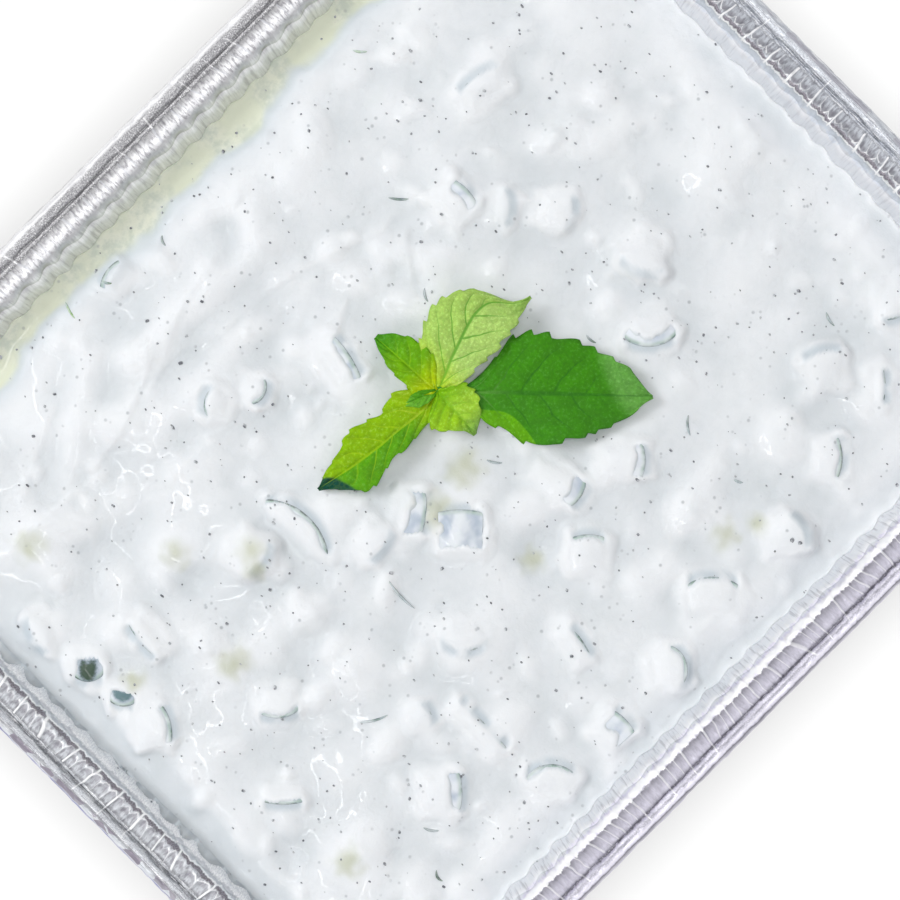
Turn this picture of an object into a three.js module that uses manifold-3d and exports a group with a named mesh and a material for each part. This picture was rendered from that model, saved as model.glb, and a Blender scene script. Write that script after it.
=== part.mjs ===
// A tray of tzatziki dip: a half-size foil catering tray filled with yoghurt dip, with diced
// cucumber set in its top and a sprig of mint in the middle.
// Millimetres. +Z is up, +X runs along the long side, and the origin is the middle of the underside.

import * as THREE from "three";
import { mergeVertices } from "three/addons/utils/BufferGeometryUtils.js";
import Module from "manifold-3d";

const wasm = await Module();
wasm.setup();

// ---- Driving dimensions -----------------------------------------------------------------------

const LENGTH = 320; // over the rolled rim
const WIDTH = 265;
const HEIGHT = 65;
const CORNER = 46; // plan radius of the rim's outer edge
const FOIL = 0.6;
const GAP = 0.3; // left between pieces that touch
const CLEAR = 20; // how far a cutter runs out past the dip's top

const CURL_RADIUS = 2.6; // the rolled bead round the rim
const CURL_STEPS = [60, 90, 135, 180, 225, 270, 315]; // degrees round the bead
const FLANGE_TOP = HEIGHT - 1.2;
const FLANGE_INNER = 11; // from the outer edge to the flange's inner edge
const WALL_HEAD = 13; // from the outer edge to the top of the wall
const WALL_HEAD_Z = FLANGE_TOP - 2;
const WALL_LEAN = 14.5; // degrees from upright
const HEEL_RADIUS = 5;
const FLUTE_HEAD = 0.6; // half the depth of the wall's flutes at its top
const FLUTE_FOOT = 0.4;

const STEPS_SMOOTH = { long: 6, short: 4, corner: 6 };
const STEPS_FLUTED = { long: 48, short: 36, corner: 12 }; // two steps a flute

const DIP_EDGE = 49; // the dip's level at the tray's wall
const DIP_RISE = 2; // how much higher it stands over most of the tray
const DIP_FADE = 12; // width of the slope up from the wall
const DIP_CELLS = { long: 40, short: 32 };
const DENSE_EDGE = 4; // power that keeps the grid's rounding to its outer cells

const LEAF_THICKNESS = 0.5;
const STEM_RADIUS = 1.3;
const STEM_SIDES = 10;
const STEM_SUNK = 5;

// ---- Dip relief: x, y, radius, height ---------------------------------------------------------

const MOUNDS = [
  [115, -3, 10, 2.2],
  [132, -4, 7, 1.2],
  [82, -6, 10, 1.6],
  [97, -73, 9, 1.6],
  [51, -100, 9, 1.8],
  [38, -83, 8, 1.5],
  [-86, 31, 8, 1.6],
  [-69, 16, 10, 2],
  [-115, 66, 10, 2.2],
  [-115, 26, 7, 1.8],
  [-98, -4, 8, 1.8],
  [-71, -34, 8, 2],
  [-115, -76, 11, 2.2],
  [-75, -103, 8, 1.2],
  [118, 58, 12, 1.4],
  [20, 88, 14, 1],
  [-60, 78, 15, 1.2],
];
const HOLLOWS = [
  [-95, 72, 10, 1.4],
  [-88, 20, 6, 1.6],
  [-9, -49, 7, 1.6],
  [-28, 34, 12, 0.9],
  [6, -20, 12, 0.9],
  [62, 6, 13, 0.9],
  [-104, 46, 12, 1.2],
  [-126, -62, 8, 1.6],
  [76, -46, 14, 1],
  [-55, -38, 9, 0.9],
];
// Ridges left by the spoon: start x and y, end x and y, half width, height
const RIDGES = [
  [-2, 78, -52, 82, 5, 1.6],
  [-62, 92, -96, 68, 5, 1.5],
  [25, 52, 37, 36, 4, 1.5],
  [-20, 62, -66, 60, 5, 1.2],
  [84, 40, 112, 22, 5, 1.2],
  [10, -80, 52, -68, 5, 1],
];

// ---- Cucumber pieces --------------------------------------------------------------------------
// x, y, the way its skin faces in degrees, the skin's chord and bulge, the flesh behind the chord,
// the back's width as a share of the chord, thickness, tilt in degrees that lifts the skin edge

const CUCUMBER = [
  [-8, 36, -12, 15, 0.8, 6, 0.9, 8, 6],
  [-54, 9, 2, 27, 5.5, 5, 0.6, 5, 14],
  [-25, -12.5, -50, 13.5, 0.8, 7.5, 1, 9, 4],
  [-18.7, -27, 45, 14, 0.8, 12, 0.95, 10, 3],
  [-40, -9, -80, 12, 1.5, 9, 0.7, 7, 6],
  [13, -37, -75, 10, 1.2, 17, 0.8, 8, 5],
  [4, -60, 45, 11, 1, 11, 0.9, 9, 4],
  [66, -25, -130, 17, 3.5, 6, 0.5, 5, 8],
  [32, -47, -45, 10, 0.8, 13, 0.95, 9, 4],
  [96, -71, 60, 13, 2, 9, 0.6, 7, 8],
  [77, -91, -45, 14, 1.6, 8, 0.8, 7, 5],
  [104, -87, -45, 11, 0.7, 2.6, 0.9, 8, 4],
  [22, -96, 45, 16, 2.5, 9, 0.8, 6, 5],
  [51, -99, -20, 12, 2, 9, 0.5, 6, 8],
  [82, -7, -155, 14, 2.5, 9, 0.4, 6, 8],
  [83, 65, 80, 15, 1.5, 6, 0.8, 6, 4],
  [52, 46, 0, 11, 1, 9, 0.9, 8, 5],
  [61, 34, -45, 12, 2, 2.6, 0.6, 6, 6],
  [72, 22, -60, 11, 1.5, 9, 0.7, 7, 6],
  [-39, 104, 100, 10, 1.2, 4.5, 0.8, 7, 6],
  [-33, 49, -70, 9, 2, 6, 0.5, 5, 8],
  [-44, 54, 120, 10, 2, 5.5, 0.5, 5, 8],
  [-69, 14, -80, 12, 2, 8, 0.6, 6, 8],
  [-132, 42, 165, 13, 2, 5, 0.6, 6, 8],
  [-130, 24, -135, 10, 2.5, 5.5, 0.8, 7, 5],
  [-129, 10, -140, 7.5, 1.2, 3.6, 0.9, 6, 4],
  [-128, -3, -30, 12, 1.2, 9, 0.8, 8, 5],
  [-110, 18, 175, 14, 0.8, 5, 0.9, 8, 6],
  [-96, -25, -130, 13, 2.2, 7, 0.7, 6, 6],
  [-116, -47, -135, 12, 0.7, 2.6, 0.9, 8, 4],
  [-41, -51, -135, 15, 4, 5, 0.5, 5, 6],
  [-19, -77, -10, 12.5, 0.7, 5, 0.9, 8, 8],
  [-68, -59, -20, 8, 1.8, 5, 0.6, 6, 6],
  [-58, -74, 0, 21, 0.6, 4.5, 0.95, 8, 6],
  [-80, -80, -45, 12, 0.8, 12, 0.9, 9, 4],
  [-53, -101, 45, 16, 4, 5, 0.6, 5, 6],
  [-3, -103, -40, 15, 5, 5, 0.6, 5, 6],
  [-29, -104, 0, 9.5, 0.7, 9.5, 0.9, 9, 3],
  [118, 92, 150, 13, 2, 8, 0.6, 7, 6],
  [126, -72, -100, 14, 2.5, 7, 0.5, 6, 6],
  [-118, 96, 40, 13, 1, 9, 0.8, 8, 5],
  [-122, -97, -160, 14, 2.5, 7, 0.5, 6, 6],
];
const COATING_SPREAD = 0.55; // a piece's mound is this share of its longer side in radius
const COATING_HEIGHT = 1.3;
const PIECE_SHOWS = 0.5; // a piece's top stands this far out of the dip
const SKIN_STEPS = 4;

// ---- Mint leaves: places in mm above the dip's edge level -------------------------------------
// bend is how far the midrib swings left, and left and right are the half-widths, at even steps
// from base to tip

const NODE = [6.4, 8.3, 8.5]; // where the leaves meet the stem
const LEAVES = [
  {
    base: [6.4, 8.3, 8.4],
    tip: [52.1, -39.6, 7],
    bow: 3.5,
    bend: [0, 0],
    left: [1.2, 1.4, 7, 16.6, 18.8, 17.4, 15.8, 12.4, 8.2, 0.4],
    right: [1.2, 1.2, 8.6, 12, 16, 14.8, 13, 10.4, 6.5, 0.4],
    fold: -0.1,
    wave: 1.1,
    waves: 2.4,
    stations: 22,
  },
  {
    base: [6.6, 8.4, 8.8],
    tip: [47, 8.2, 10],
    bow: 3.4,
    bend: [0, 1.6, 3.8, 5.6, 7.4, 8.5, 7.6, 2.4, 0],
    left: [1.5, 11, 12.6, 13.1, 11.5, 8.6, 5.6, 0.8, 0.3],
    right: [1.5, 4.8, 7.5, 9.3, 11.7, 11.9, 10.6, 3.8, 0.3],
    fold: 0.06,
    wave: 0.9,
    waves: 2,
    stations: 16,
  },
  {
    base: [6.3, 8.5, 8.8],
    tip: [4.8, 33.4, 8],
    bow: 2.5,
    bend: [0, 0],
    left: [1.3, 5, 5.2, 4.9, 4.8, 4.4, 3.3, 2.3, 0.7],
    right: [1.3, 4.4, 6.4, 7.9, 7.8, 7.4, 6, 4.3, 1],
    fold: 0.12,
    wave: 0.6,
    waves: 1.5,
    stations: 10,
  },
  {
    base: [6.2, 8.2, 8.8],
    tip: [-40.7, 12.9, 5.6],
    bow: 2.4,
    bend: [0, 1.6, 1.9, 1.7, 1.9, 1.6, 1.2, 0.6, 0],
    left: [1.3, 3.8, 4.4, 5.8, 5.4, 7.9, 8.9, 4.2, 0.3],
    right: [1.3, 7.4, 9.8, 7.4, 9, 9, 5.8, 3.6, 0.3],
    fold: 0.14,
    wave: 0.8,
    waves: 2.2,
    stations: 18,
  },
  {
    base: [6.4, 8.1, 9.2],
    tip: [5.4, -9.4, 8.4],
    bow: 3,
    bend: [0, 0],
    left: [1.3, 7.4, 8.4, 8.6, 6.8, 4.8, 0.5],
    right: [1.3, 5.5, 8.7, 8.2, 5, 1.8, 0.5],
    fold: 0.02,
    wave: 0.7,
    waves: 1.6,
    stations: 10,
  },
  {
    base: [6.2, 8.5, 8.9],
    tip: [-3.4, 12.2, 11.2],
    bow: 0.8,
    bend: [0, 0],
    left: [0.9, 2.2, 2.4, 0.3],
    right: [0.9, 1.8, 2, 0.3],
    fold: 0.3,
    wave: 0.2,
    waves: 1,
    stations: 6,
  },
];
const LEAF_CROSS = [-1, -0.5, 0, 0.5, 1]; // places across a leaf, in half-widths
const TOOTH = 0.05; // the teeth's share of the half-width

// ---- Looks ------------------------------------------------------------------------------------

const FOIL_LOOK = new THREE.MeshStandardMaterial({ color: 0xd3d4d8, roughness: 0.25, metalness: 1 });
const DIP_LOOK = new THREE.MeshStandardMaterial({ color: 0xeef1f1, roughness: 0.3, metalness: 0 });
const CUCUMBER_LOOK = new THREE.MeshStandardMaterial({
  color: 0xb9cdb0,
  roughness: 0.35,
  metalness: 0,
});
const MINT_LOOK = new THREE.MeshStandardMaterial({ color: 0x5fa21e, roughness: 0.5, metalness: 0 });

// ---- Small tools ------------------------------------------------------------------------------

const { degToRad, lerp, smoothstep } = THREE.MathUtils;

// Gathers the points and triangles of one closed surface.
class Surface {
  constructor() {
    this.points = [];
    this.triangles = [];
  }

  ring(points) {
    const first = this.points.length;
    this.points.push(...points);
    return points.map((_, k) => first + k);
  }

  triangle(a, b, c, flipped = false) {
    this.triangles.push(...(flipped ? [a, c, b] : [a, b, c]));
  }

  // Joins two closed rings of any counts. Each is walked by its own rising places from 0 to 1.
  band(inner, innerPlaces, outer, outerPlaces, flipped = false) {
    let i = 0;
    let j = 0;
    while (i < inner.length || j < outer.length) {
      const a = inner[i % inner.length];
      const b = outer[j % outer.length];
      const nextInner = i < inner.length ? (innerPlaces[i + 1] ?? 1) : Infinity;
      const nextOuter = j < outer.length ? (outerPlaces[j + 1] ?? 1) : Infinity;
      if (nextInner < nextOuter) {
        i += 1;
        this.triangle(a, b, inner[i % inner.length], flipped);
      } else {
        j += 1;
        this.triangle(a, b, outer[j % outer.length], flipped);
      }
    }
  }

  fan(centre, ring, flipped = false) {
    const [hub] = this.ring([centre]);
    ring.forEach((a, k) => this.triangle(hub, a, ring[(k + 1) % ring.length], flipped));
  }

  geometry() {
    const shape = new THREE.BufferGeometry();
    const xyz = this.points.flatMap((p) => [p.x, p.y, p.z]);
    shape.setAttribute("position", new THREE.Float32BufferAttribute(xyz, 3));
    shape.setIndex(this.triangles);
    return shape;
  }
}

function toSolid(shape) {
  const bare = shape.clone();
  bare.deleteAttribute("normal");
  bare.deleteAttribute("uv");
  const merged = mergeVertices(bare, 1e-4);
  const mesh = new wasm.Mesh({
    numProp: 3,
    vertProperties: Float32Array.from(merged.attributes.position.array),
    triVerts: Uint32Array.from(merged.index.array),
  });
  return new wasm.Manifold(mesh);
}

function toGeometry(solid) {
  const mesh = solid.getMesh();
  const shape = new THREE.BufferGeometry();
  shape.setAttribute("position", new THREE.Float32BufferAttribute(mesh.vertProperties, 3));
  shape.setIndex([...mesh.triVerts]);
  return shape;
}

function part(name, shape, look) {
  const mesh = new THREE.Mesh(shape, look);
  mesh.name = name;
  return mesh;
}

// A smooth curve through values at even steps, read at 0 to 1.
function along(values, t) {
  const curve = new THREE.SplineCurve(values.map((value, k) => new THREE.Vector2(k, value)));
  return curve.getPoint(t).y;
}

// ---- The tray's outline -----------------------------------------------------------------------

// Stations anticlockwise round the rounded rectangle. Each has its corner centre or the matching
// point beside a straight side, its outward direction, and its place from 0 to 1 on the way round.
function stations(steps) {
  const halfX = LENGTH / 2 - CORNER;
  const halfY = WIDTH / 2 - CORNER;
  const arc = (CORNER * Math.PI) / 2;
  const turns = [
    { centre: [halfX, halfY], next: [-halfX, halfY], count: steps.long },
    { centre: [-halfX, halfY], next: [-halfX, -halfY], count: steps.short },
    { centre: [-halfX, -halfY], next: [halfX, -halfY], count: steps.long },
    { centre: [halfX, -halfY], next: [halfX, halfY], count: steps.short },
  ];
  const list = [];
  let walked = 0;
  turns.forEach(({ centre, next, count }, quarter) => {
    for (let k = 0; k < steps.corner; k += 1) {
      const angle = (quarter + k / steps.corner) * (Math.PI / 2);
      list.push({ x: centre[0], y: centre[1], angle, walked: walked + (arc * k) / steps.corner });
    }
    walked += arc;
    const side = Math.hypot(next[0] - centre[0], next[1] - centre[1]);
    for (let k = 0; k < count; k += 1) {
      const x = lerp(centre[0], next[0], k / count);
      const y = lerp(centre[1], next[1], k / count);
      const angle = ((quarter + 1) * Math.PI) / 2;
      list.push({ x, y, angle, walked: walked + (side * k) / count });
    }
    walked += side;
  });
  return list.map((station) => ({ ...station, place: station.walked / walked }));
}

const SMOOTH = stations(STEPS_SMOOTH);
const FLUTED = stations(STEPS_FLUTED);

// The outline moved in by an inset, at one height, with every second point pushed in by the flutes.
function outlineRing(list, inset, z, flute = 0) {
  return list.map(({ x, y, angle }, k) => {
    const radius = CORNER - inset + (k % 2 ? flute : -flute);
    return new THREE.Vector3(x + radius * Math.cos(angle), y + radius * Math.sin(angle), z);
  });
}

// How far in from the outer edge the wall's inner face stands at a height.
function wallInset(z) {
  return WALL_HEAD + (WALL_HEAD_Z - z) * Math.tan(degToRad(WALL_LEAN));
}

// ---- Foil tray --------------------------------------------------------------------------------

// The food side's section from the floor's edge, up the wall, over the flange and round the bead.
function traySection() {
  const lean = degToRad(WALL_LEAN);
  const footZ = FOIL + HEEL_RADIUS * (1 - Math.sin(lean));
  const foot = wallInset(footZ);
  const heelCentre = foot + HEEL_RADIUS * Math.cos(lean);
  const middle = (lean + Math.PI / 2) / 2;
  const curlZ = HEIGHT - CURL_RADIUS;
  const crease = Math.asin((FLANGE_TOP - curlZ) / CURL_RADIUS);
  const bead = [crease, ...CURL_STEPS.map(degToRad)].map((angle) => ({
    inset: CURL_RADIUS + CURL_RADIUS * Math.cos(angle),
    z: curlZ + CURL_RADIUS * Math.sin(angle),
  }));
  return [
    { inset: heelCentre, z: FOIL },
    {
      inset: heelCentre - HEEL_RADIUS * Math.cos(middle),
      z: FOIL + HEEL_RADIUS * (1 - Math.sin(middle)),
    },
    { inset: foot, z: footZ, flute: FLUTE_FOOT },
    { inset: WALL_HEAD, z: WALL_HEAD_Z, flute: FLUTE_HEAD },
    { inset: FLANGE_INNER, z: FLANGE_TOP },
    ...bead,
  ];
}

// The same section moved down and out by the foil's thickness, with mitred corners.
function offsetSection(section) {
  const normals = section.slice(1).map((point, k) => {
    const run = point.inset - section[k].inset;
    const rise = point.z - section[k].z;
    const size = Math.hypot(run, rise);
    return { inset: rise / size, z: -run / size };
  });
  return section.map((point, k) => {
    const before = normals[k - 1] ?? { inset: 0, z: 1 };
    const after = normals[k] ?? before;
    const mitre = FOIL / (1 + before.inset * after.inset + before.z * after.z);
    return {
      ...point,
      inset: point.inset - (before.inset + after.inset) * mitre,
      z: point.z - (before.z + after.z) * mitre,
    };
  });
}

function trayFace(surface, section, flipped) {
  const rings = section.map(({ inset, z, flute }) => {
    const list = flute ? FLUTED : SMOOTH;
    const places = list.map((station) => station.place);
    return { points: surface.ring(outlineRing(list, inset, z, flute)), places };
  });
  surface.fan(new THREE.Vector3(0, 0, section[0].z), rings[0].points, flipped);
  rings.slice(1).forEach((outer, k) => {
    const inner = rings[k];
    surface.band(inner.points, inner.places, outer.points, outer.places, flipped);
  });
  return rings.at(-1);
}

function foilTray() {
  const surface = new Surface();
  const section = traySection();
  const upper = trayFace(surface, section, false);
  const under = trayFace(surface, offsetSection(section), true);
  surface.band(upper.points, upper.places, under.points, under.places);
  return surface.geometry();
}

// ---- Dip --------------------------------------------------------------------------------------

const DIP_INSET = wallInset(DIP_EDGE) + FLUTE_HEAD + GAP;
const DIP_HALF_X = LENGTH / 2 - DIP_INSET;
const DIP_HALF_Y = WIDTH / 2 - DIP_INSET;

function bump(x, y, [centreX, centreY, radius, height]) {
  return height * Math.exp(-((x - centreX) ** 2 + (y - centreY) ** 2) / radius ** 2);
}

function ridge(x, y, [x0, y0, x1, y1, halfWidth, height]) {
  const line = new THREE.Line3(new THREE.Vector3(x0, y0, 0), new THREE.Vector3(x1, y1, 0));
  const nearest = line.closestPointToPoint(new THREE.Vector3(x, y, 0), true, new THREE.Vector3());
  const away = Math.hypot(x - nearest.x, y - nearest.y);
  return height * Math.exp(-((away / halfWidth) ** 2));
}

function coating(x, y, [centreX, centreY, , chord, bulge, flesh]) {
  const radius = Math.max(chord, bulge + flesh) * COATING_SPREAD + 2;
  return bump(x, y, [centreX, centreY, radius, COATING_HEIGHT]);
}

// The dip's level: flat at the wall, higher inside, with lumps, hollows and spoon ridges.
function dipLevel(x, y) {
  const toWall = Math.min(DIP_HALF_X - Math.abs(x), DIP_HALF_Y - Math.abs(y));
  const swell = 0.5 * Math.sin(x / 19 + 1.3) * Math.cos(y / 15) + 0.35 * Math.sin(x / 9 - y / 11);
  let relief = DIP_RISE + swell;
  MOUNDS.forEach((mound) => {
    relief += bump(x, y, mound);
  });
  HOLLOWS.forEach((hollow) => {
    relief -= bump(x, y, hollow);
  });
  RIDGES.forEach((line) => {
    relief += ridge(x, y, line);
  });
  CUCUMBER.forEach((piece) => {
    relief += coating(x, y, piece);
  });
  return DIP_EDGE + relief * smoothstep(toWall, 0, DIP_FADE);
}

// A grid point from -1 to 1 each way, drawn in at the corners to follow the rounded outline.
function dipPoint(a, b) {
  const reach = Math.max(Math.abs(a), Math.abs(b), 1e-9);
  const edgeX = (Math.abs(a) / reach) * DIP_HALF_X;
  const edgeY = (Math.abs(b) / reach) * DIP_HALF_Y;
  const radius = CORNER - DIP_INSET;
  const centreX = DIP_HALF_X - radius;
  const centreY = DIP_HALF_Y - radius;
  let scale = 1;
  if (edgeX > centreX && edgeY > centreY) {
    const square = edgeX ** 2 + edgeY ** 2;
    const half = edgeX * centreX + edgeY * centreY;
    const rest = centreX ** 2 + centreY ** 2 - radius ** 2;
    scale = (half + Math.sqrt(half ** 2 - square * rest)) / square;
  }
  const drawn = 1 + (scale - 1) * reach ** DENSE_EDGE;
  const x = a * DIP_HALF_X * drawn;
  const y = b * DIP_HALF_Y * drawn;
  return new THREE.Vector3(x, y, dipLevel(x, y));
}

// The grid's border anticlockwise from the middle of the +X side.
function gridBorder(id) {
  const { long, short } = DIP_CELLS;
  const border = [];
  for (let j = short / 2; j < short; j += 1) border.push(id(long, j));
  for (let i = long; i > 0; i -= 1) border.push(id(i, short));
  for (let j = short; j > 0; j -= 1) border.push(id(0, j));
  for (let i = 0; i < long; i += 1) border.push(id(i, 0));
  for (let j = 0; j < short / 2; j += 1) border.push(id(long, j));
  return border;
}

// Each point's place on the way round, by its direction from the middle.
function placesByAngle(points) {
  return points.map((p) => {
    const turn = Math.atan2(p.y, p.x) / (2 * Math.PI);
    return turn < -1e-9 ? turn + 1 : turn;
  });
}

function dipBody() {
  const surface = new Surface();
  const { long, short } = DIP_CELLS;
  const id = (i, j) => i * (short + 1) + j;
  for (let i = 0; i <= long; i += 1) {
    for (let j = 0; j <= short; j += 1) {
      surface.ring([dipPoint((2 * i) / long - 1, (2 * j) / short - 1)]);
    }
  }
  for (let i = 0; i < long; i += 1) {
    for (let j = 0; j < short; j += 1) {
      surface.triangle(id(i, j), id(i + 1, j), id(i + 1, j + 1));
      surface.triangle(id(i, j), id(i + 1, j + 1), id(i, j + 1));
    }
  }
  const section = traySection();
  const floorZ = FOIL + GAP;
  const inward = FLUTE_HEAD + GAP;
  const rings = [section[2], { inset: section[0].inset, z: floorZ }].map(({ inset, z }) => {
    const points = outlineRing(SMOOTH, inset + inward, z);
    const start = points.findIndex((p, k) => p.y >= 0 && points.at(k - 1).y < 0);
    return [...points.slice(start), ...points.slice(0, start)];
  });
  const border = gridBorder(id);
  const borderPlaces = placesByAngle(border.map((k) => surface.points[k]));
  const [heel, floor] = rings.map((points) => ({
    points: surface.ring(points),
    places: placesByAngle(points),
  }));
  surface.band(border, borderPlaces, heel.points, heel.places);
  surface.band(heel.points, heel.places, floor.points, floor.places);
  surface.fan(new THREE.Vector3(0, 0, floorZ), floor.points, true);
  return toSolid(surface.geometry());
}

// ---- Cucumber ---------------------------------------------------------------------------------

// A slab cut from a slice: a bowed skin edge towards +X, straight sides and a straight back.
function slabOutline(chord, bulge, flesh, taper, grow) {
  const half = chord / 2 + grow;
  const back = -(flesh + bulge) / 2 - grow;
  const front = back + flesh + 2 * grow;
  const shape = new THREE.Shape();
  shape.moveTo(back, (-chord / 2) * taper - grow);
  for (let k = 0; k <= SKIN_STEPS; k += 1) {
    const across = (2 * k) / SKIN_STEPS - 1;
    shape.lineTo(front + bulge * (1 - across ** 2), half * across);
  }
  shape.lineTo(back, (chord / 2) * taper + grow);
  shape.closePath();
  return shape;
}

// The slab with its top at the dip's surface. A cutter is grown by the gap and runs up clear.
function cucumberSolid(piece, grow = 0, above = 0) {
  const [x, y, facing, chord, bulge, flesh, taper, thickness, tilt] = piece;
  const outline = slabOutline(chord, bulge, flesh, taper, grow);
  const depth = thickness + grow + above;
  const slab = new THREE.ExtrudeGeometry(outline, { depth, bevelEnabled: false });
  slab.translate(0, 0, -thickness - grow);
  slab.rotateY(-degToRad(tilt));
  slab.rotateZ(degToRad(facing));
  slab.translate(x, y, dipLevel(x, y) + PIECE_SHOWS);
  return toSolid(slab);
}

// ---- Mint -------------------------------------------------------------------------------------

// A thin wavy leaf with a toothed edge, its two faces a leaf's thickness apart.
function leafSolid(leaf) {
  const { base, tip, bow, bend, left, right, fold, wave, waves, stations: count } = leaf;
  const start = new THREE.Vector3(...base);
  const end = new THREE.Vector3(...tip);
  const heading = Math.atan2(end.y - start.y, end.x - start.x);
  const side = new THREE.Vector3(-Math.sin(heading), Math.cos(heading), 0);
  const upper = [];
  for (let k = 0; k <= count; k += 1) {
    const t = k / count;
    const arch = 4 * t * (1 - t);
    const tooth = 1 + (k % 2 ? TOOTH : -TOOTH);
    LEAF_CROSS.forEach((across) => {
      const width = along(across > 0 ? left : right, t) * tooth * Math.abs(across);
      const lift = fold * width + wave * across ** 2 * Math.sin(2 * Math.PI * waves * t + across);
      const point = new THREE.Vector3().lerpVectors(start, end, t);
      point.addScaledVector(side, along(bend, t) + width * Math.sign(across));
      point.z += DIP_EDGE + bow * arch + lift;
      upper.push(point);
    });
  }
  const surface = new Surface();
  const faces = [0, LEAF_THICKNESS].map((drop) =>
    surface.ring(upper.map((p) => new THREE.Vector3(p.x, p.y, p.z - drop))),
  );
  const rows = LEAF_CROSS.length;
  faces.forEach((face, k) => {
    for (let i = 0; i < count; i += 1) {
      for (let j = 0; j + 1 < rows; j += 1) {
        const corner = i * rows + j;
        const [a, b] = [face[corner], face[corner + rows]];
        const [c, d] = [face[corner + rows + 1], face[corner + 1]];
        surface.triangle(a, b, c, k === 1);
        surface.triangle(a, c, d, k === 1);
      }
    }
  });
  const rim = [];
  for (let i = 0; i < count; i += 1) rim.push(i * rows);
  for (let j = 0; j + 1 < rows; j += 1) rim.push(count * rows + j);
  for (let i = count; i > 0; i -= 1) rim.push(i * rows + rows - 1);
  for (let j = rows - 1; j > 0; j -= 1) rim.push(j);
  const places = rim.map((_, k) => k / rim.length);
  const [topRim, lowRim] = faces.map((face) => rim.map((k) => face[k]));
  surface.band(topRim, places, lowRim, places);
  return toSolid(surface.geometry());
}

// The stem stub under the leaves, sunk into the dip. A cutter is grown by the gap and runs up clear.
function stemSolid(grow = 0, above = 0) {
  const foot = dipLevel(NODE[0], NODE[1]) - STEM_SUNK - grow;
  const head = DIP_EDGE + NODE[2] + STEM_RADIUS / 2 + above;
  const radius = STEM_RADIUS + grow;
  const stem = new THREE.CylinderGeometry(radius, radius, head - foot, STEM_SIDES);
  stem.rotateX(Math.PI / 2);
  stem.translate(NODE[0], NODE[1], (head + foot) / 2);
  return toSolid(stem);
}

function mintSprig() {
  return LEAVES.reduce((sprig, leaf) => sprig.add(leafSolid(leaf)), stemSolid());
}

// ---- The whole thing --------------------------------------------------------------------------

function dipWithHollows() {
  const cutters = CUCUMBER.map((piece) => cucumberSolid(piece, GAP, CLEAR));
  cutters.push(stemSolid(GAP, CLEAR));
  return cutters.reduce((body, cutter) => body.subtract(cutter), dipBody());
}

const group = new THREE.Group();
group.add(part("foil_tray", foilTray(), FOIL_LOOK));
group.add(part("tzatziki", toGeometry(dipWithHollows()), DIP_LOOK));
CUCUMBER.forEach((piece, k) => {
  const name = `cucumber_${String(k + 1).padStart(2, "0")}`;
  group.add(part(name, toGeometry(cucumberSolid(piece)), CUCUMBER_LOOK));
});
group.add(part("mint_sprig", toGeometry(mintSprig()), MINT_LOOK));

export default group;
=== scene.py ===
# %% [markdown]
# # A tray of tzatziki dip
#
# The object is a half-size catering tray pressed from thin foil and filled with white yoghurt dip.
# Diced cucumber is stirred into the dip, so only its edges show. Black pepper is scattered all over,
# and a sprig of mint lies in the middle.
#
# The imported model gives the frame: where the tray, the dip and each piece of cucumber are, in metres.
# This script keeps those places and makes the surfaces that a cook would see.

import math

import bpy
import numpy as np
from mathutils import Matrix, Vector


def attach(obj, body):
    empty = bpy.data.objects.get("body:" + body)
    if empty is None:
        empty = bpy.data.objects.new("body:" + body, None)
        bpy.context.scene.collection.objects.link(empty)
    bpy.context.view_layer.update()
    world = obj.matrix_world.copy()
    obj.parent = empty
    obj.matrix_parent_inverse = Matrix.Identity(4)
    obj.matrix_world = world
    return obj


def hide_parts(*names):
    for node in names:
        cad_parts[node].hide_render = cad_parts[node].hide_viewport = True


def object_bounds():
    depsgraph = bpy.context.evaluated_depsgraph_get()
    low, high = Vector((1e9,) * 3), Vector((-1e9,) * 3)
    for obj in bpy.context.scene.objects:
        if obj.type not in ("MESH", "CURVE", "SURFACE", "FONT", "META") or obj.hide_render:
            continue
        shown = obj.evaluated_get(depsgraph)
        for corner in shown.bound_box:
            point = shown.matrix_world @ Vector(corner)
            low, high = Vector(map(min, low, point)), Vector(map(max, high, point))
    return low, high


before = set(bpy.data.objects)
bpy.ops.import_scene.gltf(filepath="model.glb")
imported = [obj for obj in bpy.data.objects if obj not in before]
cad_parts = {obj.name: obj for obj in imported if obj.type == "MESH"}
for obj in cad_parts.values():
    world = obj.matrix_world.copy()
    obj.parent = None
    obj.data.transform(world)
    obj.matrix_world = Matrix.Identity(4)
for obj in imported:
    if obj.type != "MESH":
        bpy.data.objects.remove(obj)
cad_low, cad_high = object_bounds()
MM = 0.001
print("the tray measures", [round(v / MM, 1) for v in cad_high - cad_low], "mm")

# %% [markdown]
# ## Small helpers
#
# Every new shape starts as a Blender primitive. Some of them are sheets with thousands of points, and
# NumPy moves those in one go: `points_of` reads a mesh's points and `place_points` writes them back.


# %% Helpers for meshes
def deselect():
    bpy.ops.object.select_all(action="DESELECT")


def rename(name):
    piece = bpy.context.object
    piece.name = name
    piece.data.name = name
    return piece


def points_of(piece):
    flat = np.empty(len(piece.data.vertices) * 3)
    piece.data.vertices.foreach_get("co", flat)
    return flat.reshape(-1, 3)


def place_points(piece, points):
    piece.data.vertices.foreach_set("co", np.ascontiguousarray(points, dtype=np.float64).ravel())
    piece.data.update()


def flat_sheet(name, columns, rows):
    """A grid of the given numbers of faces, one unit square, centred on the origin."""
    deselect()
    bpy.ops.mesh.primitive_grid_add(x_subdivisions=columns, y_subdivisions=rows, size=1)
    return rename(name)


def point_values(piece, name, values):
    """Stores one number a point, for a material to read."""
    layer = piece.data.attributes.new(name, "FLOAT", "POINT")
    layer.data.foreach_set("value", np.asarray(values, dtype=np.float32))


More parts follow.
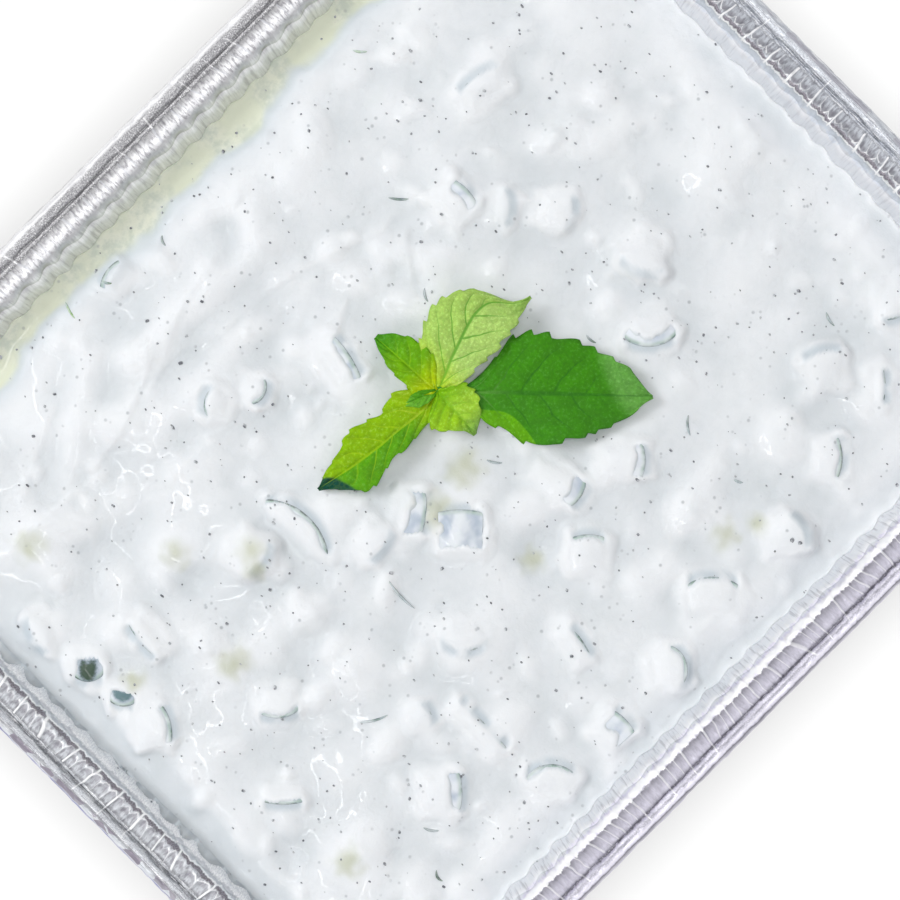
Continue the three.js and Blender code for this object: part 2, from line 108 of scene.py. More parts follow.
def vector_values(piece, name, values):
    """Stores three numbers a point."""
    layer = piece.data.attributes.new(name, "FLOAT_VECTOR", "POINT")
    layer.data.foreach_set("vector", np.ascontiguousarray(values, dtype=np.float32).ravel())


def start_edit(piece):
    """Goes into edit mode on one piece, with all of it selected."""
    deselect()
    piece.select_set(True)
    bpy.context.view_layer.objects.active = piece
    bpy.ops.object.mode_set(mode="EDIT")
    bpy.ops.mesh.select_all(action="SELECT")


def end_edit():
    bpy.ops.object.mode_set(mode="OBJECT")


def round_edges(sharper_than, offset, segments):
    """In edit mode, bevels the edges that are sharper than an angle in degrees."""
    bpy.ops.mesh.select_all(action="DESELECT")
    bpy.ops.mesh.edges_select_sharp(sharpness=math.radians(sharper_than))
    bpy.ops.mesh.bevel(offset=offset, segments=segments, affect="EDGES")
    end_edit()


def settle(name):
    """Names a new primitive and gives its points the place and turn that it was added with."""
    piece = rename(name)
    bpy.ops.object.transform_apply(location=True, rotation=True, scale=True)
    return piece


def rebuild(piece, points, faces):
    """Gives a piece new points and faces in place of its own."""
    piece.data.clear_geometry()
    piece.data.from_pydata(points, [], faces)
    piece.data.update()


def apply_all(piece):
    bpy.context.view_layer.objects.active = piece
    for modifier in list(piece.modifiers):
        bpy.ops.object.modifier_apply(modifier=modifier.name)


def smooth(piece):
    piece.data.polygons.foreach_set("use_smooth", [True] * len(piece.data.polygons))
    piece.data.update()


def volume_of(piece):
    """A closed piece's volume, which is negative where its faces point inward."""
    faces = piece.data.polygons
    middles, normals, areas = (np.empty(len(faces) * size) for size in (3, 3, 1))
    for values, name in ((middles, "center"), (normals, "normal"), (areas, "area")):
        faces.foreach_get(name, values)
    reach = (middles * normals).reshape(-1, 3).sum(axis=1)
    return float((reach * areas).sum() / 3)


def finish_piece(piece, nodes, material):
    """Puts a finished piece into the frame: hides the parts it stands for, hangs it on the root and
    gives it its material.
    """
    piece.data.materials.clear()
    piece.data.materials.append(material)
    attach(piece, "root")
    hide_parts(*nodes)
    return piece


# %% [markdown]
# Noise gives the unevenness of hand-mixed food and pressed foil. This one is value noise: random
# heights on a lattice, joined smoothly. It can wrap round, so a pattern meets itself on a closed rim.


# %% Helpers for unevenness
LATTICE = 256


def ease(t):
    t = np.clip(t, 0.0, 1.0)
    return t * t * (3 - 2 * t)


def noise(u, v, seed, wrap=LATTICE):
    """Smooth values from -1 to 1 that change over about one unit of u and v."""
    table = np.random.default_rng(seed).uniform(-1, 1, (LATTICE, LATTICE))
    column = np.floor(u).astype(int)
    row = np.floor(v).astype(int)
    across = ease(u - column)
    up = ease(v - row)
    left, right = column % wrap, (column + 1) % wrap
    low, high = row % LATTICE, (row + 1) % LATTICE
    lower = table[left, low] * (1 - across) + table[right, low] * across
    upper = table[left, high] * (1 - across) + table[right, high] * across
    return lower * (1 - up) + upper * up


def noise_round(place, changes, seed):
    """Noise along the closed rim, for places from 0 to 1, that changes so many times on its way."""
    return noise(place * changes, 0 * place, seed, wrap=changes)


# %% [markdown]
# ## The tray's outline
#
# The rim is a rounded rectangle. Everything in the tray follows it: the flange, the fluted wall and
# the border of the dip. `outline` walks round it once and gives the point, the outward direction and
# the flute's phase, which goes up by one for each flute. The wall leans out from a flat floor.

# %% The tray's sizes, in metres
LENGTH, WIDTH, HEIGHT = (float(v) for v in cad_high - cad_low)
CORNER = 46 * MM
SHEET = 0.3 * MM
BEAD = 2.6 * MM
BEAD_ANGLES = np.concatenate([np.linspace(12, 190, 15), np.linspace(190, 322, 6)[1:]])
FLANGE_Z = HEIGHT - 1.2 * MM
FLANGE_OUTER, FLANGE_INNER = 5.3 * MM, 10.6 * MM
FLANGE_SLOPE = 0.085
WALL_HEAD = 13 * MM
WALL_HEAD_Z = FLANGE_Z - 2 * MM
PAN_TOP = 59 * MM
WALL_LEAN = math.radians(14.5)
HEEL = 5 * MM
HEEL_POINTS = 6
FLOOR_Z = SHEET
FLUTES = {"long": 24, "short": 18, "corner": 6}
FLUTE_HEAD = 0.55 * MM
FLUTE_FOOT = 0.4 * MM

HALF_X = LENGTH / 2 - CORNER
HALF_Y = WIDTH / 2 - CORNER
ARC = CORNER * math.pi / 2
AROUND = 2 * (2 * HALF_X + 2 * HALF_Y) + 4 * ARC
FLUTE_COUNT = 2 * (FLUTES["long"] + FLUTES["short"]) + 4 * FLUTES["corner"]
print("the rim is", round(AROUND / MM), "mm round, with", FLUTE_COUNT, "flutes")


# %% Walk round the outline
def outline(places):
    """For places from 0 to 1 round the rim: corner centre x and y, outward angle and flute phase."""
    centres = [(HALF_X, HALF_Y), (-HALF_X, HALF_Y), (-HALF_X, -HALF_Y), (HALF_X, -HALF_Y)]
    stretches = []
    for k, centre in enumerate(centres):
        side, kind = ((2 * HALF_X, "long"), (2 * HALF_Y, "short"))[k % 2]
        stretches.append((ARC, centre, centre, k / 4, FLUTES["corner"]))
        stretches.append((side, centre, centres[(k + 1) % 4], (k + 1) / 4, FLUTES[kind]))
    walked = np.asarray(places) * AROUND
    x, y, angle, phase = (np.zeros_like(walked) for _ in range(4))
    start, flutes = 0.0, 0
    for length, begin, end, turn, count in stretches:
        here = (walked >= start - 1e-9) & (walked <= start + length + 1e-9)
        t = (walked[here] - start) / length
        x[here] = begin[0] + (end[0] - begin[0]) * t
        y[here] = begin[1] + (end[1] - begin[1]) * t
        is_corner = begin == end
        angle[here] = 2 * math.pi * (turn + (0.25 * t if is_corner else 0.0))
        phase[here] = flutes + count * t
        start += length
        flutes += count
    return x, y, angle, phase


def wall_inset(z):
    return WALL_HEAD + (WALL_HEAD_Z - z) * math.tan(WALL_LEAN)


def flute_turn(place, phase):
    """The flute's phase once its width wanders a little; whole numbers are the inward crests."""
    return phase + 0.16 * noise_round(place, 90, 11)


def flute_push(place, phase, strength):
    """How far the wall stands outward: flutes of uneven width and depth."""
    depth = 1 + 0.3 * noise_round(place, 60, 12)
    return -strength * depth * np.cos(2 * math.pi * flute_turn(place, phase))


def side_shares(angle):
    """How much a point belongs to the sides at +X, +Y and -X. The side at -Y has the rest."""
    facing = (np.cos(angle), np.sin(angle), -np.cos(angle))
    return np.column_stack([ease((share - 0.5) * 2) for share in facing])


# %% [markdown]
# ## The foil tray
#
# A press draws the tray from one flat sheet of foil. So each piece here also starts as a flat sheet,
# a grid, and is bent to the tray's section: one way along the grid runs round the outline, the other
# goes from the floor up the wall, over the flange and round the bead. The spare foil at the edge
# gathers into flutes and cross ribs. Solidify then gives the sheet its thickness.
#
# The tray is made in two stretches, because the rim needs far finer faces than the wall: the pan, up
# to just under the flange, and the rim. They meet edge to edge on the same curve.


# %% The tray's section
def arc_points(centre, radius, degrees):
    angles = np.radians(degrees)
    return [(centre[0] + radius * math.cos(a), centre[1] + radius * math.sin(a)) for a in angles]


def pan_section():
    """Inset and height from the floor's edge up the wall, with each point's share of the flutes."""
    foot_z = FLOOR_Z + HEEL * (1 - math.sin(WALL_LEAN))
    foot = wall_inset(foot_z)
    heel_centre = (foot + HEEL * math.cos(WALL_LEAN), FLOOR_Z + HEEL)
    lean = math.degrees(WALL_LEAN)
    heel = arc_points(heel_centre, HEEL, np.linspace(270, 180 + lean, HEEL_POINTS))
    heel_flutes = np.linspace(0, FLUTE_FOOT, HEEL_POINTS)
    heights = np.linspace(foot_z, PAN_TOP, 12)[1:]
    share = (heights - foot_z) / (WALL_HEAD_Z - foot_z)
    wall_flutes = FLUTE_FOOT + (FLUTE_HEAD - FLUTE_FOOT) * share
    wall = [(wall_inset(z), z) for z in heights]
    return np.array(heel + wall), np.concatenate([heel_flutes, wall_flutes])


def rim_section():
    """Inset and height from the top of the wall over the flange and round the bead."""
    heights = np.linspace(PAN_TOP, WALL_HEAD_Z, 3)
    wall = [(wall_inset(z), z) for z in heights]
    shoulder = [(12.45 * MM, FLANGE_Z - 1.05 * MM), (11.9 * MM, FLANGE_Z - 0.42 * MM)]
    shoulder += [(11.3 * MM, FLANGE_Z - 0.1 * MM)]
    insets = np.linspace(FLANGE_INNER, FLANGE_OUTER, 8)
    flange = [(inset, FLANGE_Z - FLANGE_SLOPE * (FLANGE_INNER - inset)) for inset in insets]
    bead = arc_points((BEAD, HEIGHT - BEAD), BEAD, BEAD_ANGLES)
    flutes = [FLUTE_HEAD] * 3 + [0.9 * FLUTE_HEAD, 0.7 * FLUTE_HEAD, 0.45 * FLUTE_HEAD]
    section = np.array(wall + shoulder + flange + bead)
    return section, np.array(flutes + [0.0] * (len(section) - len(flutes)))


# %% Bend a sheet to the section
def bend_sheet(name, section, flutes, columns, first=0.0, last=1.0):
    """A flat sheet, and each point's place round the rim, row, walk on the outline, inset and height."""
    sheet = flat_sheet(name, columns, len(section) - 1)
    points = points_of(sheet)
    place = first + (last - first) * (points[:, 0] + 0.5)
    row = np.rint((0.5 - points[:, 1]) * (len(section) - 1)).astype(int)
    x, y, angle, phase = outline(place)
    inset, z = section[row, 0], section[row, 1]
    push = flute_push(place, phase, flutes[row])
    return sheet, place, row, (x, y, angle), inset - push, z


def onto_outline(walk, inset):
    x, y, angle = walk
    radius = CORNER - inset
    return x + radius * np.cos(angle), y + radius * np.sin(angle)


def close_seam(sheet):
    """Joins the points that lie on each other, where the sheet meets itself."""
    start_edit(sheet)
    bpy.ops.mesh.remove_doubles(threshold=1e-6)
    end_edit()


def give_thickness(sheet, thickness):
    solidify = sheet.modifiers.new("thickness", "SOLIDIFY")
    solidify.thickness = thickness
    solidify.offset = -1
    apply_all(sheet)


def mark_foil(sheet, place, inset, ribs, angle):
    """Stores what the foil's shader reads: millimetres round and inward, the rib count, the side."""
    vector_values(sheet, "rim_at", np.column_stack([place * AROUND / MM, inset / MM, ribs]))
    vector_values(sheet, "sides", side_shares(angle))


# %% Press the pan
PAN_COLUMNS = 8 * FLUTE_COUNT
# the rings of the floor, each as a share of the floor's own outline, and the stamped step in it
FLOOR_RINGS = [0.97, 0.93, 0.86, 0.7, 0.5, 0.3, 0.14, 0.0]
STEP_FROM, STEP_TO, STEP_HEIGHT = 0.9, 0.95, 0.5 * MM


def press_pan():
    section, flutes = pan_section()
    rings = len(FLOOR_RINGS)
    section = np.concatenate([[(section[0][0], FLOOR_Z)] * rings, section])
    flutes = np.concatenate([np.zeros(rings), flutes])
    sheet, place, row, walk, inset, z = bend_sheet("foil_pan", section, flutes, PAN_COLUMNS)
    # the floor's rings are drawn in towards the middle, dented, with one step stamped near the edge
    x, y = onto_outline(walk, inset)
    shrink = np.array(FLOOR_RINGS[::-1] + [1.0] * (len(section) - rings))[row]
    floor_x, floor_y = x * shrink, y * shrink
    dents = noise(floor_x * 90, floor_y * 90, 21) * 0.22 * MM
    dents = dents + noise(floor_x * 260, floor_y * 260, 22) * 0.06 * MM
    on_wall = row >= rings + HEEL_POINTS - 1
    stamped = np.where((shrink > STEP_FROM) & (shrink < STEP_TO), STEP_HEIGHT, 0.0)
    lift = np.where(on_wall, 0.0, np.maximum(dents, 0) * (shrink < STEP_FROM) + stamped)
    ripple = np.where(on_wall, noise(place * 500, z * 160, 23, wrap=250) * 0.12 * MM, 0.0)
    x, y = onto_outline(walk, inset + ripple)
    place_points(sheet, np.column_stack([x * shrink, y * shrink, z + lift]))
    mark_foil(sheet, place, inset, 3 * outline(place)[3], walk[2])
    close_seam(sheet)
    give_thickness(sheet, SHEET)
    smooth(sheet)
    return sheet


foil_pan = press_pan()
print("the pan has", len(foil_pan.data.polygons), "faces")

# %% [markdown]
# The rim carries most of the tray's character. The flange is crossed by sharp ribs where the foil
# bunched up, with sagging cells between them, and the bead is a loose roll with long creases and
# dents. There are three ribs to a flute: a strong one on the flute's inward crest and two weaker
# ones. Along one long side, where the foil lay flatter, they are weak. The rim is pressed as two
# halves, so that neither mesh gets too heavy.

# %% Press the rim
RIM_COLUMNS = 13 * FLUTE_COUNT
RIB_COUNT = 3 * FLUTE_COUNT
RIB_GAP = AROUND / RIB_COUNT
RIB_HALF = 0.4 * MM
GROOVE_ANGLE = 82


def rib_count(place, phase, inset):
    """Rises by one at each rib. The ribs slant and stand unevenly."""
    slant = 0.35 * noise_round(place, 90, 32) * (inset - 8 * MM) / RIB_GAP
    jitter = 0.22 * noise_round(place, 210, 37)
    jitter = jitter + 0.1 * noise(place * 180, inset * 420, 33, wrap=180)
    return 3 * flute_turn(place, phase) + slant + jitter


def rib_height(count):
    """Sharp ribs across the flange and the sag of the cells between them."""
    draw = np.random.default_rng(31)
    heights = draw.uniform(0.0, 0.5, RIB_COUNT)
    heights[::3] = draw.uniform(0.5, 0.85, FLUTE_COUNT)
    k = np.floor(count).astype(int)
    before = (count - k) * RIB_GAP
    after = RIB_GAP - before
    crest = heights[k % RIB_COUNT] * np.exp(-((before / RIB_HALF) ** 2))
    crest = crest + heights[(k + 1) % RIB_COUNT] * np.exp(-((after / RIB_HALF) ** 2))
    return (crest - 1.1 * before * after / RIB_GAP**2) * MM


def press_rim(name, first, last):
    section, flutes = rim_section()
    sheet, place, row, walk, inset, z = bend_sheet(name, section, flutes, RIM_COLUMNS, first, last)
    # the ribs start beside the bead and end a little way down the wall
    on_flange = ease((inset - 4.9 * MM) / (0.9 * MM)) * ease((13.6 * MM - inset) / (1.4 * MM))
    flat = side_shares(walk[2])[:, 1]
    count = rib_count(place, outline(place)[3], inset)
    mark_foil(sheet, place, inset, count, walk[2])
    ribs = rib_height(count) * on_flange * (1 - 0.8 * flat)
    lumps = noise(place * 640, inset * 500, 34, wrap=128) * 0.14 * MM * on_flange
    # the bead swells and sinks along its length, with one shallow groove that follows it round
    first_bead = len(section) - len(BEAD_ANGLES)
    on_bead = row >= first_bead
    degrees = BEAD_ANGLES[np.maximum(row - first_bead, 0)]
    long_crease = noise(place * 120, degrees / 34, 35, wrap=120)
    short_crease = noise(place * 512, degrees / 28, 36)
    groove = -0.3 * np.exp(-(((degrees - GROOVE_ANGLE) / 9) ** 2))
    swell = np.where(on_bead, (0.2 * long_crease + 0.2 * short_crease + groove) * MM, 0.0)
    bead_angle = np.radians(degrees)
    inset = inset + swell * np.cos(bead_angle)
    inset = inset - ribs * 0.5 * ease((inset - 10 * MM) / (1.5 * MM))
    z = z + swell * np.sin(bead_angle) + ribs + lumps
    x, y = onto_outline(walk, np.maximum(inset, 0.0))
    place_points(sheet, np.column_stack([x, y, np.minimum(z, HEIGHT)]))
    give_thickness(sheet, SHEET)
    smooth(sheet)
    return sheet


rims = [press_rim("foil_rim_back", 0.0, 0.5), press_rim("foil_rim_front", 0.5, 1.0)]
print("each half of the rim has", len(rims[0].data.polygons), "faces")

# %% [markdown]
# ## Cucumber
#
# A cook slices the cucumber and cuts the slices across. So each piece starts as a cylinder, one
# slice, and `bisect` cuts it three times: twice down the sides and once across the back. What is
# left keeps the slice's round skin edge. The list gives each piece's place and cut, as in the frame.
# The last two numbers go from 0 to 1: how much of its top shows through the dip, and how dark its
# skin is.

# %% Where the cucumber lies
# x, y, facing, skin chord, skin bulge, flesh, back share, thickness, tilt: millimetres and degrees
CUCUMBER = [
    (-8, 36, -12, 15, 0.8, 6, 0.9, 8, 6, 0.6, 0.45),
    (-54, 9, 2, 27, 5.5, 5, 0.6, 5, 14, 0.38, 0.8),
    (-25, -12.5, -50, 13.5, 0.8, 7.5, 1, 9, 4, 0.8, 0.3),
    (-18.7, -27, 45, 14, 0.8, 12, 0.95, 10, 3, 1.0, 0.3),
    (-40, -9, -80, 12, 1.5, 9, 0.7, 7, 6, 0.1, 0.3),
    (13, -37, -75, 10, 1.2, 17, 0.8, 8, 5, 0.5, 0.5),
    (4, -60, 45, 11, 1, 11, 0.9, 9, 4, 0.35, 0.3),
    (66, -25, -130, 17, 3.5, 6, 0.5, 5, 8, 0.6, 0.35),
    (32, -47, -45, 10, 0.8, 13, 0.95, 9, 4, 0.5, 0.3),
    (96, -71, 60, 13, 2, 9, 0.6, 7, 8, 0.1, 0.3),
    (77, -91, -45, 14, 1.6, 8, 0.8, 7, 5, 0.45, 0.75),
    (104, -87, -45, 11, 0.7, 2.6, 0.9, 8, 4, 0.3, 0.5),
    (22, -96, 45, 16, 2.5, 9, 0.8, 6, 5, 0.3, 0.35),
    (51, -99, -20, 12, 2, 9, 0.5, 6, 8, 0.05, 0.3),
    (82, -7, -155, 14, 2.5, 9, 0.4, 6, 8, 0.2, 0.3),
    (83, 65, 80, 15, 1.5, 6, 0.8, 6, 4, 0.05, 0.3),
    (52, 46, 0, 11, 1, 9, 0.9, 8, 5, 0.6, 0.3),
    (61, 34, -45, 12, 2, 2.6, 0.6, 6, 6, 0.2, 0.4),
    (72, 22, -60, 11, 1.5, 9, 0.7, 7, 6, 0.1, 0.3),
    (-39, 104, 100, 10, 1.2, 4.5, 0.8, 7, 6, 0.6, 0.7),
    (-33, 49, -70, 9, 2, 6, 0.5, 5, 8, 0.4, 0.45),
    (-44, 54, 120, 10, 2, 5.5, 0.5, 5, 8, 0.3, 0.35),
    (-69, 14, -80, 12, 2, 8, 0.6, 6, 8, 0.05, 0.3),
    (-132, 42, 165, 13, 2, 5, 0.6, 6, 8, 0.2, 0.3),
    (-130, 24, -135, 10, 2.5, 5.5, 0.8, 7, 5, 1.0, 1),
    (-129, 10, -140, 7.5, 1.2, 3.6, 0.9, 6, 4, 1.0, 0.85),
    (-128, -3, -30, 12, 1.2, 9, 0.8, 8, 5, 0.4, 0.4),
    (-110, 18, 175, 14, 0.8, 5, 0.9, 8, 6, 0.3, 0.3),
    (-96, -25, -130, 13, 2.2, 7, 0.7, 6, 6, 0.4, 0.3),
    (-116, -47, -135, 12, 0.7, 2.6, 0.9, 8, 4, 0.6, 0.65),
    (-41, -51, -135, 15, 4, 5, 0.5, 5, 6, 0.25, 0.45),
    (-19, -77, -10, 12.5, 0.7, 5, 0.9, 8, 8, 0.3, 0.55),
    (-68, -59, -20, 8, 1.8, 5, 0.6, 6, 6, 0.3, 0.4),
    (-58, -74, 0, 21, 0.6, 4.5, 0.95, 8, 6, 0.3, 0.3),
    (-80, -80, -45, 12, 0.8, 12, 0.9, 9, 4, 0.55, 0.3),
    (-53, -101, 45, 16, 4, 5, 0.6, 5, 6, 0.4, 0.3),
    (-3, -103, -40, 15, 5, 5, 0.6, 5, 6, 0.3, 0.3),
    (-29, -104, 0, 9.5, 0.7, 9.5, 0.9, 9, 3, 0.8, 0.3),
    (118, 92, 150, 13, 2, 8, 0.6, 7, 6, 0.2, 0.3),
    (126, -72, -100, 14, 2.5, 7, 0.5, 6, 6, 0.2, 0.3),
    (-118, 96, 40, 13, 1, 9, 0.8, 8, 5, 0.5, 0.3),
    (-122, -97, -160, 14, 2.5, 7, 0.5, 6, 6, 0.2, 0.3),
]
print(len(CUCUMBER), "pieces of cucumber")

# %% [markdown]
# ## The dip
#
# The dip's top is one uneven skin, so it is one grid, raised point by point. Its height is a sum of
# simple things, as in the frame's solid: a gentle rise from the wall, slow swells, lumps where a
# piece lies under the yoghurt, hollows, and ridges left by the spoon. Finer unevenness comes on top.

# %% The dip's relief
DIP_EDGE = 49 * MM
DIP_RISE = 2 * MM
DIP_FADE = 12 * MM
# x, y, radius, height: millimetres, as in all the dip's tables
MOUNDS = [
    (115, -3, 10, 2.2), (132, -4, 7, 1.2), (82, -6, 10, 1.6), (97, -73, 9, 1.6), (51, -100, 9, 1.8),
    (38, -83, 8, 1.5), (-86, 31, 8, 1.6), (-69, 16, 10, 2), (-115, 66, 10, 2.2), (-115, 26, 7, 1.8),
    (-98, -4, 8, 1.8), (-71, -34, 8, 2), (-115, -76, 11, 2.2), (-75, -103, 8, 1.2),
    (118, 58, 12, 1.4), (20, 88, 14, 1), (-60, 78, 15, 1.2),
]
HOLLOWS = [
    (-95, 72, 10, 1.4), (-88, 20, 6, 1.6), (-9, -49, 7, 1.6), (-28, 34, 12, 0.9), (6, -20, 12, 0.9),
    (62, 6, 13, 0.9), (-104, 46, 12, 1.2), (-126, -62, 8, 1.6), (76, -46, 14, 1),
    (-55, -38, 9, 0.9),
]
# start x and y, end x and y, half width, height
RIDGES = [
    (-2, 78, -52, 82, 5, 1.6), (-62, 92, -96, 68, 5, 1.5), (25, 52, 37, 36, 4, 1.5),
    (-20, 62, -66, 60, 5, 1.2), (84, 40, 112, 22, 5, 1.2), (10, -80, 52, -68, 5, 1),
]
# start x and y, end x and y, height of the steep edges that the spoon left on the dip's surface
FOLDS = [
    (-10.9, 87.8, -54.9, 72.7, 0.8), (-48.6, 78.2, -85.2, 64.8, 0.9),
    (-119.3, 67, -85.2, 64.8, 0.7), (35.9, 55.8, -6, 68.5, -0.6), (-6, 68.5, -47.9, 72.7, -0.5),
    (35.7, 52.6, 23.6, 35.7, 1), (66.6, 41, 67.6, 28, 0.8), (6.4, 48.6, -13.4, 33.3, 0.8),
    (-77.9, 89.1, -108.6, 76, 0.6), (38, -110, -30, -114, -0.6),
]


def bump(x, y, centre_x, centre_y, radius, height):
    return height * np.exp(-((x - centre_x) ** 2 + (y - centre_y) ** 2) / radius**2)


def ridge(x, y, x0, y0, x1, y1, half_width, height):
    run_x, run_y = x1 - x0, y1 - y0
    t = ((x - x0) * run_x + (y - y0) * run_y) / (run_x**2 + run_y**2)
    t = np.clip(t, 0, 1)
    away = np.hypot(x - x0 - t * run_x, y - y0 - t * run_y)
    return height * np.exp(-((away / half_width) ** 2))


def fold(x, y, x0, y0, x1, y1, height):
    """A bank that rises gently and drops steeply, with its drop on the left of its direction."""
    length = math.hypot(x1 - x0, y1 - y0)
    ahead_x, ahead_y = (x1 - x0) / length, (y1 - y0) / length
    along = (x - x0) * ahead_x + (y - y0) * ahead_y
    away = (y - y0) * ahead_x - (x - x0) * ahead_y
    away = away + 2.2 * noise(x / 14 + 30, y / 14 + 30, 48) * math.copysign(1, height)
    ends = ease(along / 6 + 0.5) * ease((length - along) / 6 + 0.5)
    bank = np.where(away < 0, np.exp(np.minimum(away, 0) / 6), ease(1 - away / 1.8))
    return 0.6 * abs(height) * bank * ends


DIP_INSET = wall_inset(DIP_EDGE) + FLUTE_HEAD + 0.3 * MM
DIP_HALF_X = LENGTH / 2 - DIP_INSET
DIP_HALF_Y = WIDTH / 2 - DIP_INSET


def broad_level(x, y):
    """The level in metres of the frame's own dip, for points in metres."""
    to_wall = np.minimum(DIP_HALF_X - np.abs(x), DIP_HALF_Y - np.abs(y))
    x, y = x / MM, y / MM
    relief = DIP_RISE / MM + 0.5 * np.sin(x / 19 + 1.3) * np.cos(y / 15)
    relief = relief + 0.35 * np.sin(x / 9 - y / 11)
    for mound in MOUNDS:
        relief = relief + bump(x, y, *mound)
    for hollow in HOLLOWS:
        relief = relief - bump(x, y, *hollow)
    for line in RIDGES:
        relief = relief + ridge(x, y, *line)
    for px, py, _, chord, bulge, flesh, *_ in CUCUMBER:
        radius = max(chord, bulge + flesh) * 0.55 + 2
        relief = relief + bump(x, y, px, py, radius, 1.3)
    return DIP_EDGE + relief * MM * ease(to_wall / DIP_FADE)


def level_at(x, y):
    """The level in metres at one point, given in millimetres."""
    return float(broad_level(np.array(x * MM), np.array(y * MM)))


print("mid dip level", round(level_at(0, 0) / MM, 1), "mm")

# %% Cut the cucumber
# how far above the level a piece's own top lies, and how round its cut edges are
CUCUMBER_SHOWS = 0.5
CUT_ROUNDING = 0.28 * MM


def slice_shape(chord, bulge, flesh):
    """The slice's radius, and how far ahead of its middle the piece's back and its skin's front are."""
    radius = (chord**2 / 4 + bulge**2) / (2 * bulge)
    back = -(flesh + bulge) / 2
    return radius, back, back + flesh + bulge


def slice_off(point, normal):
    """Cuts away what lies past a plane and closes the cut."""
    bpy.ops.mesh.select_all(action="SELECT")
    bpy.ops.mesh.bisect(plane_co=point, plane_no=normal, use_fill=True, clear_outer=True)


def cut_piece(name, chord, bulge, flesh, share, thickness):
    """One piece at the origin, its top at height 0 and its skin towards +X, in metres."""
    radius, back, front = slice_shape(chord, bulge, flesh)
    deselect()
    bpy.ops.mesh.primitive_cylinder_add(
        vertices=max(48, int(2 * math.pi * radius / 0.9)),
        radius=radius * MM,
        depth=thickness * MM,
        location=((front - radius) * MM, 0, -thickness / 2 * MM),
    )
    piece = settle(name)
    start_edit(piece)
    slice_off((back * MM, 0, 0), (-1, 0, 0))
    spread = chord / 2 * (1 - share)
    for side in (-1, 1):
        corner = (back * MM, side * chord / 2 * share * MM, 0)
        slice_off(corner, (-spread / flesh, side, 0))
    round_edges(40, CUT_ROUNDING, 2)
    return piece, radius * MM, (front - radius) * MM


def place_cucumber(index, cut):
    x, y, facing, chord, bulge, flesh, share, thickness, tilt, _, dark = cut
    name = f"cucumber_piece_{index + 1:02d}"
    piece, radius, centre_x = cut_piece(name, chord, bulge, flesh, share, thickness)
    points = points_of(piece)
    slice_at = [points[:, 0] - centre_x, points[:, 1], 0 * points[:, 0] + radius]
    vector_values(piece, "slice", np.column_stack(slice_at) / MM)
    point_values(piece, "dark", np.full(len(points), dark))
    level = level_at(x, y) + CUCUMBER_SHOWS * MM
    place = Matrix.Translation((x * MM, y * MM, level))
    place @= Matrix.Rotation(math.radians(facing), 4, "Z")
    place @= Matrix.Rotation(-math.radians(tilt), 4, "Y")
    piece.data.transform(place)
    bpy.ops.object.shade_smooth_by_angle(angle=math.radians(35))
    return piece, place


cucumber = [place_cucumber(k, cut) for k, cut in enumerate(CUCUMBER)]
print("cut", len(cucumber), "pieces")

# %% [markdown]
# The border of the dip lies against the fluted wall, so the script has to know, for any point, how
# far it is from the rim and which flute it faces. Near the wall the yoghurt also creeps up the foil:
# a little on three sides, and as a thin smear on the short side at -X.


# %% Find the wall from any point
def facing_wall(x, y):
    """For points in metres: place round the rim, inset from it, and the outward direction."""
    over_x = np.abs(x) - HALF_X
    over_y = np.abs(y) - HALF_Y
    corner = (over_x > 0) & (over_y > 0)
    along_x = ~corner & (over_x > over_y)
    angle = np.where(along_x, 0.0, math.pi / 2)
    angle = np.where(corner, np.arctan2(np.maximum(over_y, 0), np.maximum(over_x, 1e-12)), angle)
    reach = np.where(corner, np.hypot(over_x, over_y), np.maximum(over_x, over_y))
    angle = np.where(x < 0, math.pi - angle, angle)
    angle = np.where(y < 0, -angle, angle) % (2 * math.pi)
    turns = angle / (math.pi / 2)
    quarter = np.where(corner, np.floor(turns), np.rint(turns) % 4).astype(int)
    # where each corner and each side starts on the walk round the rim
    side_x, side_y = 2 * HALF_X, 2 * HALF_Y
    corner_starts = [0, ARC + side_x, 2 * ARC + side_x + side_y, 3 * ARC + 2 * side_x + side_y]
    side_starts = [AROUND - side_y, ARC, 2 * ARC + side_x, 3 * ARC + side_x + side_y]
    in_corner = np.array(corner_starts)[quarter] + CORNER * (angle - quarter * math.pi / 2)
    runs = np.stack([y + HALF_Y, HALF_X - x, HALF_Y - y, x + HALF_X])
    run = np.take_along_axis(runs, quarter[None], axis=0)[0]
    on_side = np.array(side_starts)[quarter] + run
    place = np.where(corner, in_corner, on_side) / AROUND
    return place, CORNER - reach, np.cos(angle), np.sin(angle)


def creep(place, outward_x, outward_y):
    """How far above its level the yoghurt clings to the wall."""
    smear = ease((-outward_x - 0.6) / 0.3) * (5.5 + 2.5 * noise_round(place, 40, 41))
    bead = 0.9 + 0.5 * noise_round(place, 110, 42)
    pool = ease((outward_y - 0.7) / 0.2)
    return (smear + bead * (1 - 0.6 * pool)) * MM


# %% [markdown]
# Whey, the thin greenish liquid that yoghurt gives off, has gathered in a strip along the long side
# at +Y and in the deeper hollows, whose olive spots also carry painted shade. The strip is level and
# smooth, and the thick dip ends at it in a low bank. `pool_share` tells how much a point belongs to
# that strip.


# %% The strip of whey
POOL_LEVEL = 48.7 * MM
POOL_WIDTH = 9.6 * MM
BANK = 7 * MM


def pool_share(x, inset, outward_y, bank=BANK, wider=0.0):
    """From 0 on the dip to 1 in the strip of whey."""
    width = POOL_WIDTH + wider + 3 * MM * noise(x / (22 * MM) + 60, 0 * x, 43)
    width = width + 1.2 * MM * noise(x / (5 * MM) + 60, inset / (5 * MM), 47)
    side = ease((0.142 - np.abs(x)) / 0.03) * ease((outward_y - 0.8) / 0.15)
    depth = width * side - (inset - wall_inset(DIP_EDGE))
    return ease(0.5 + depth / bank) * side


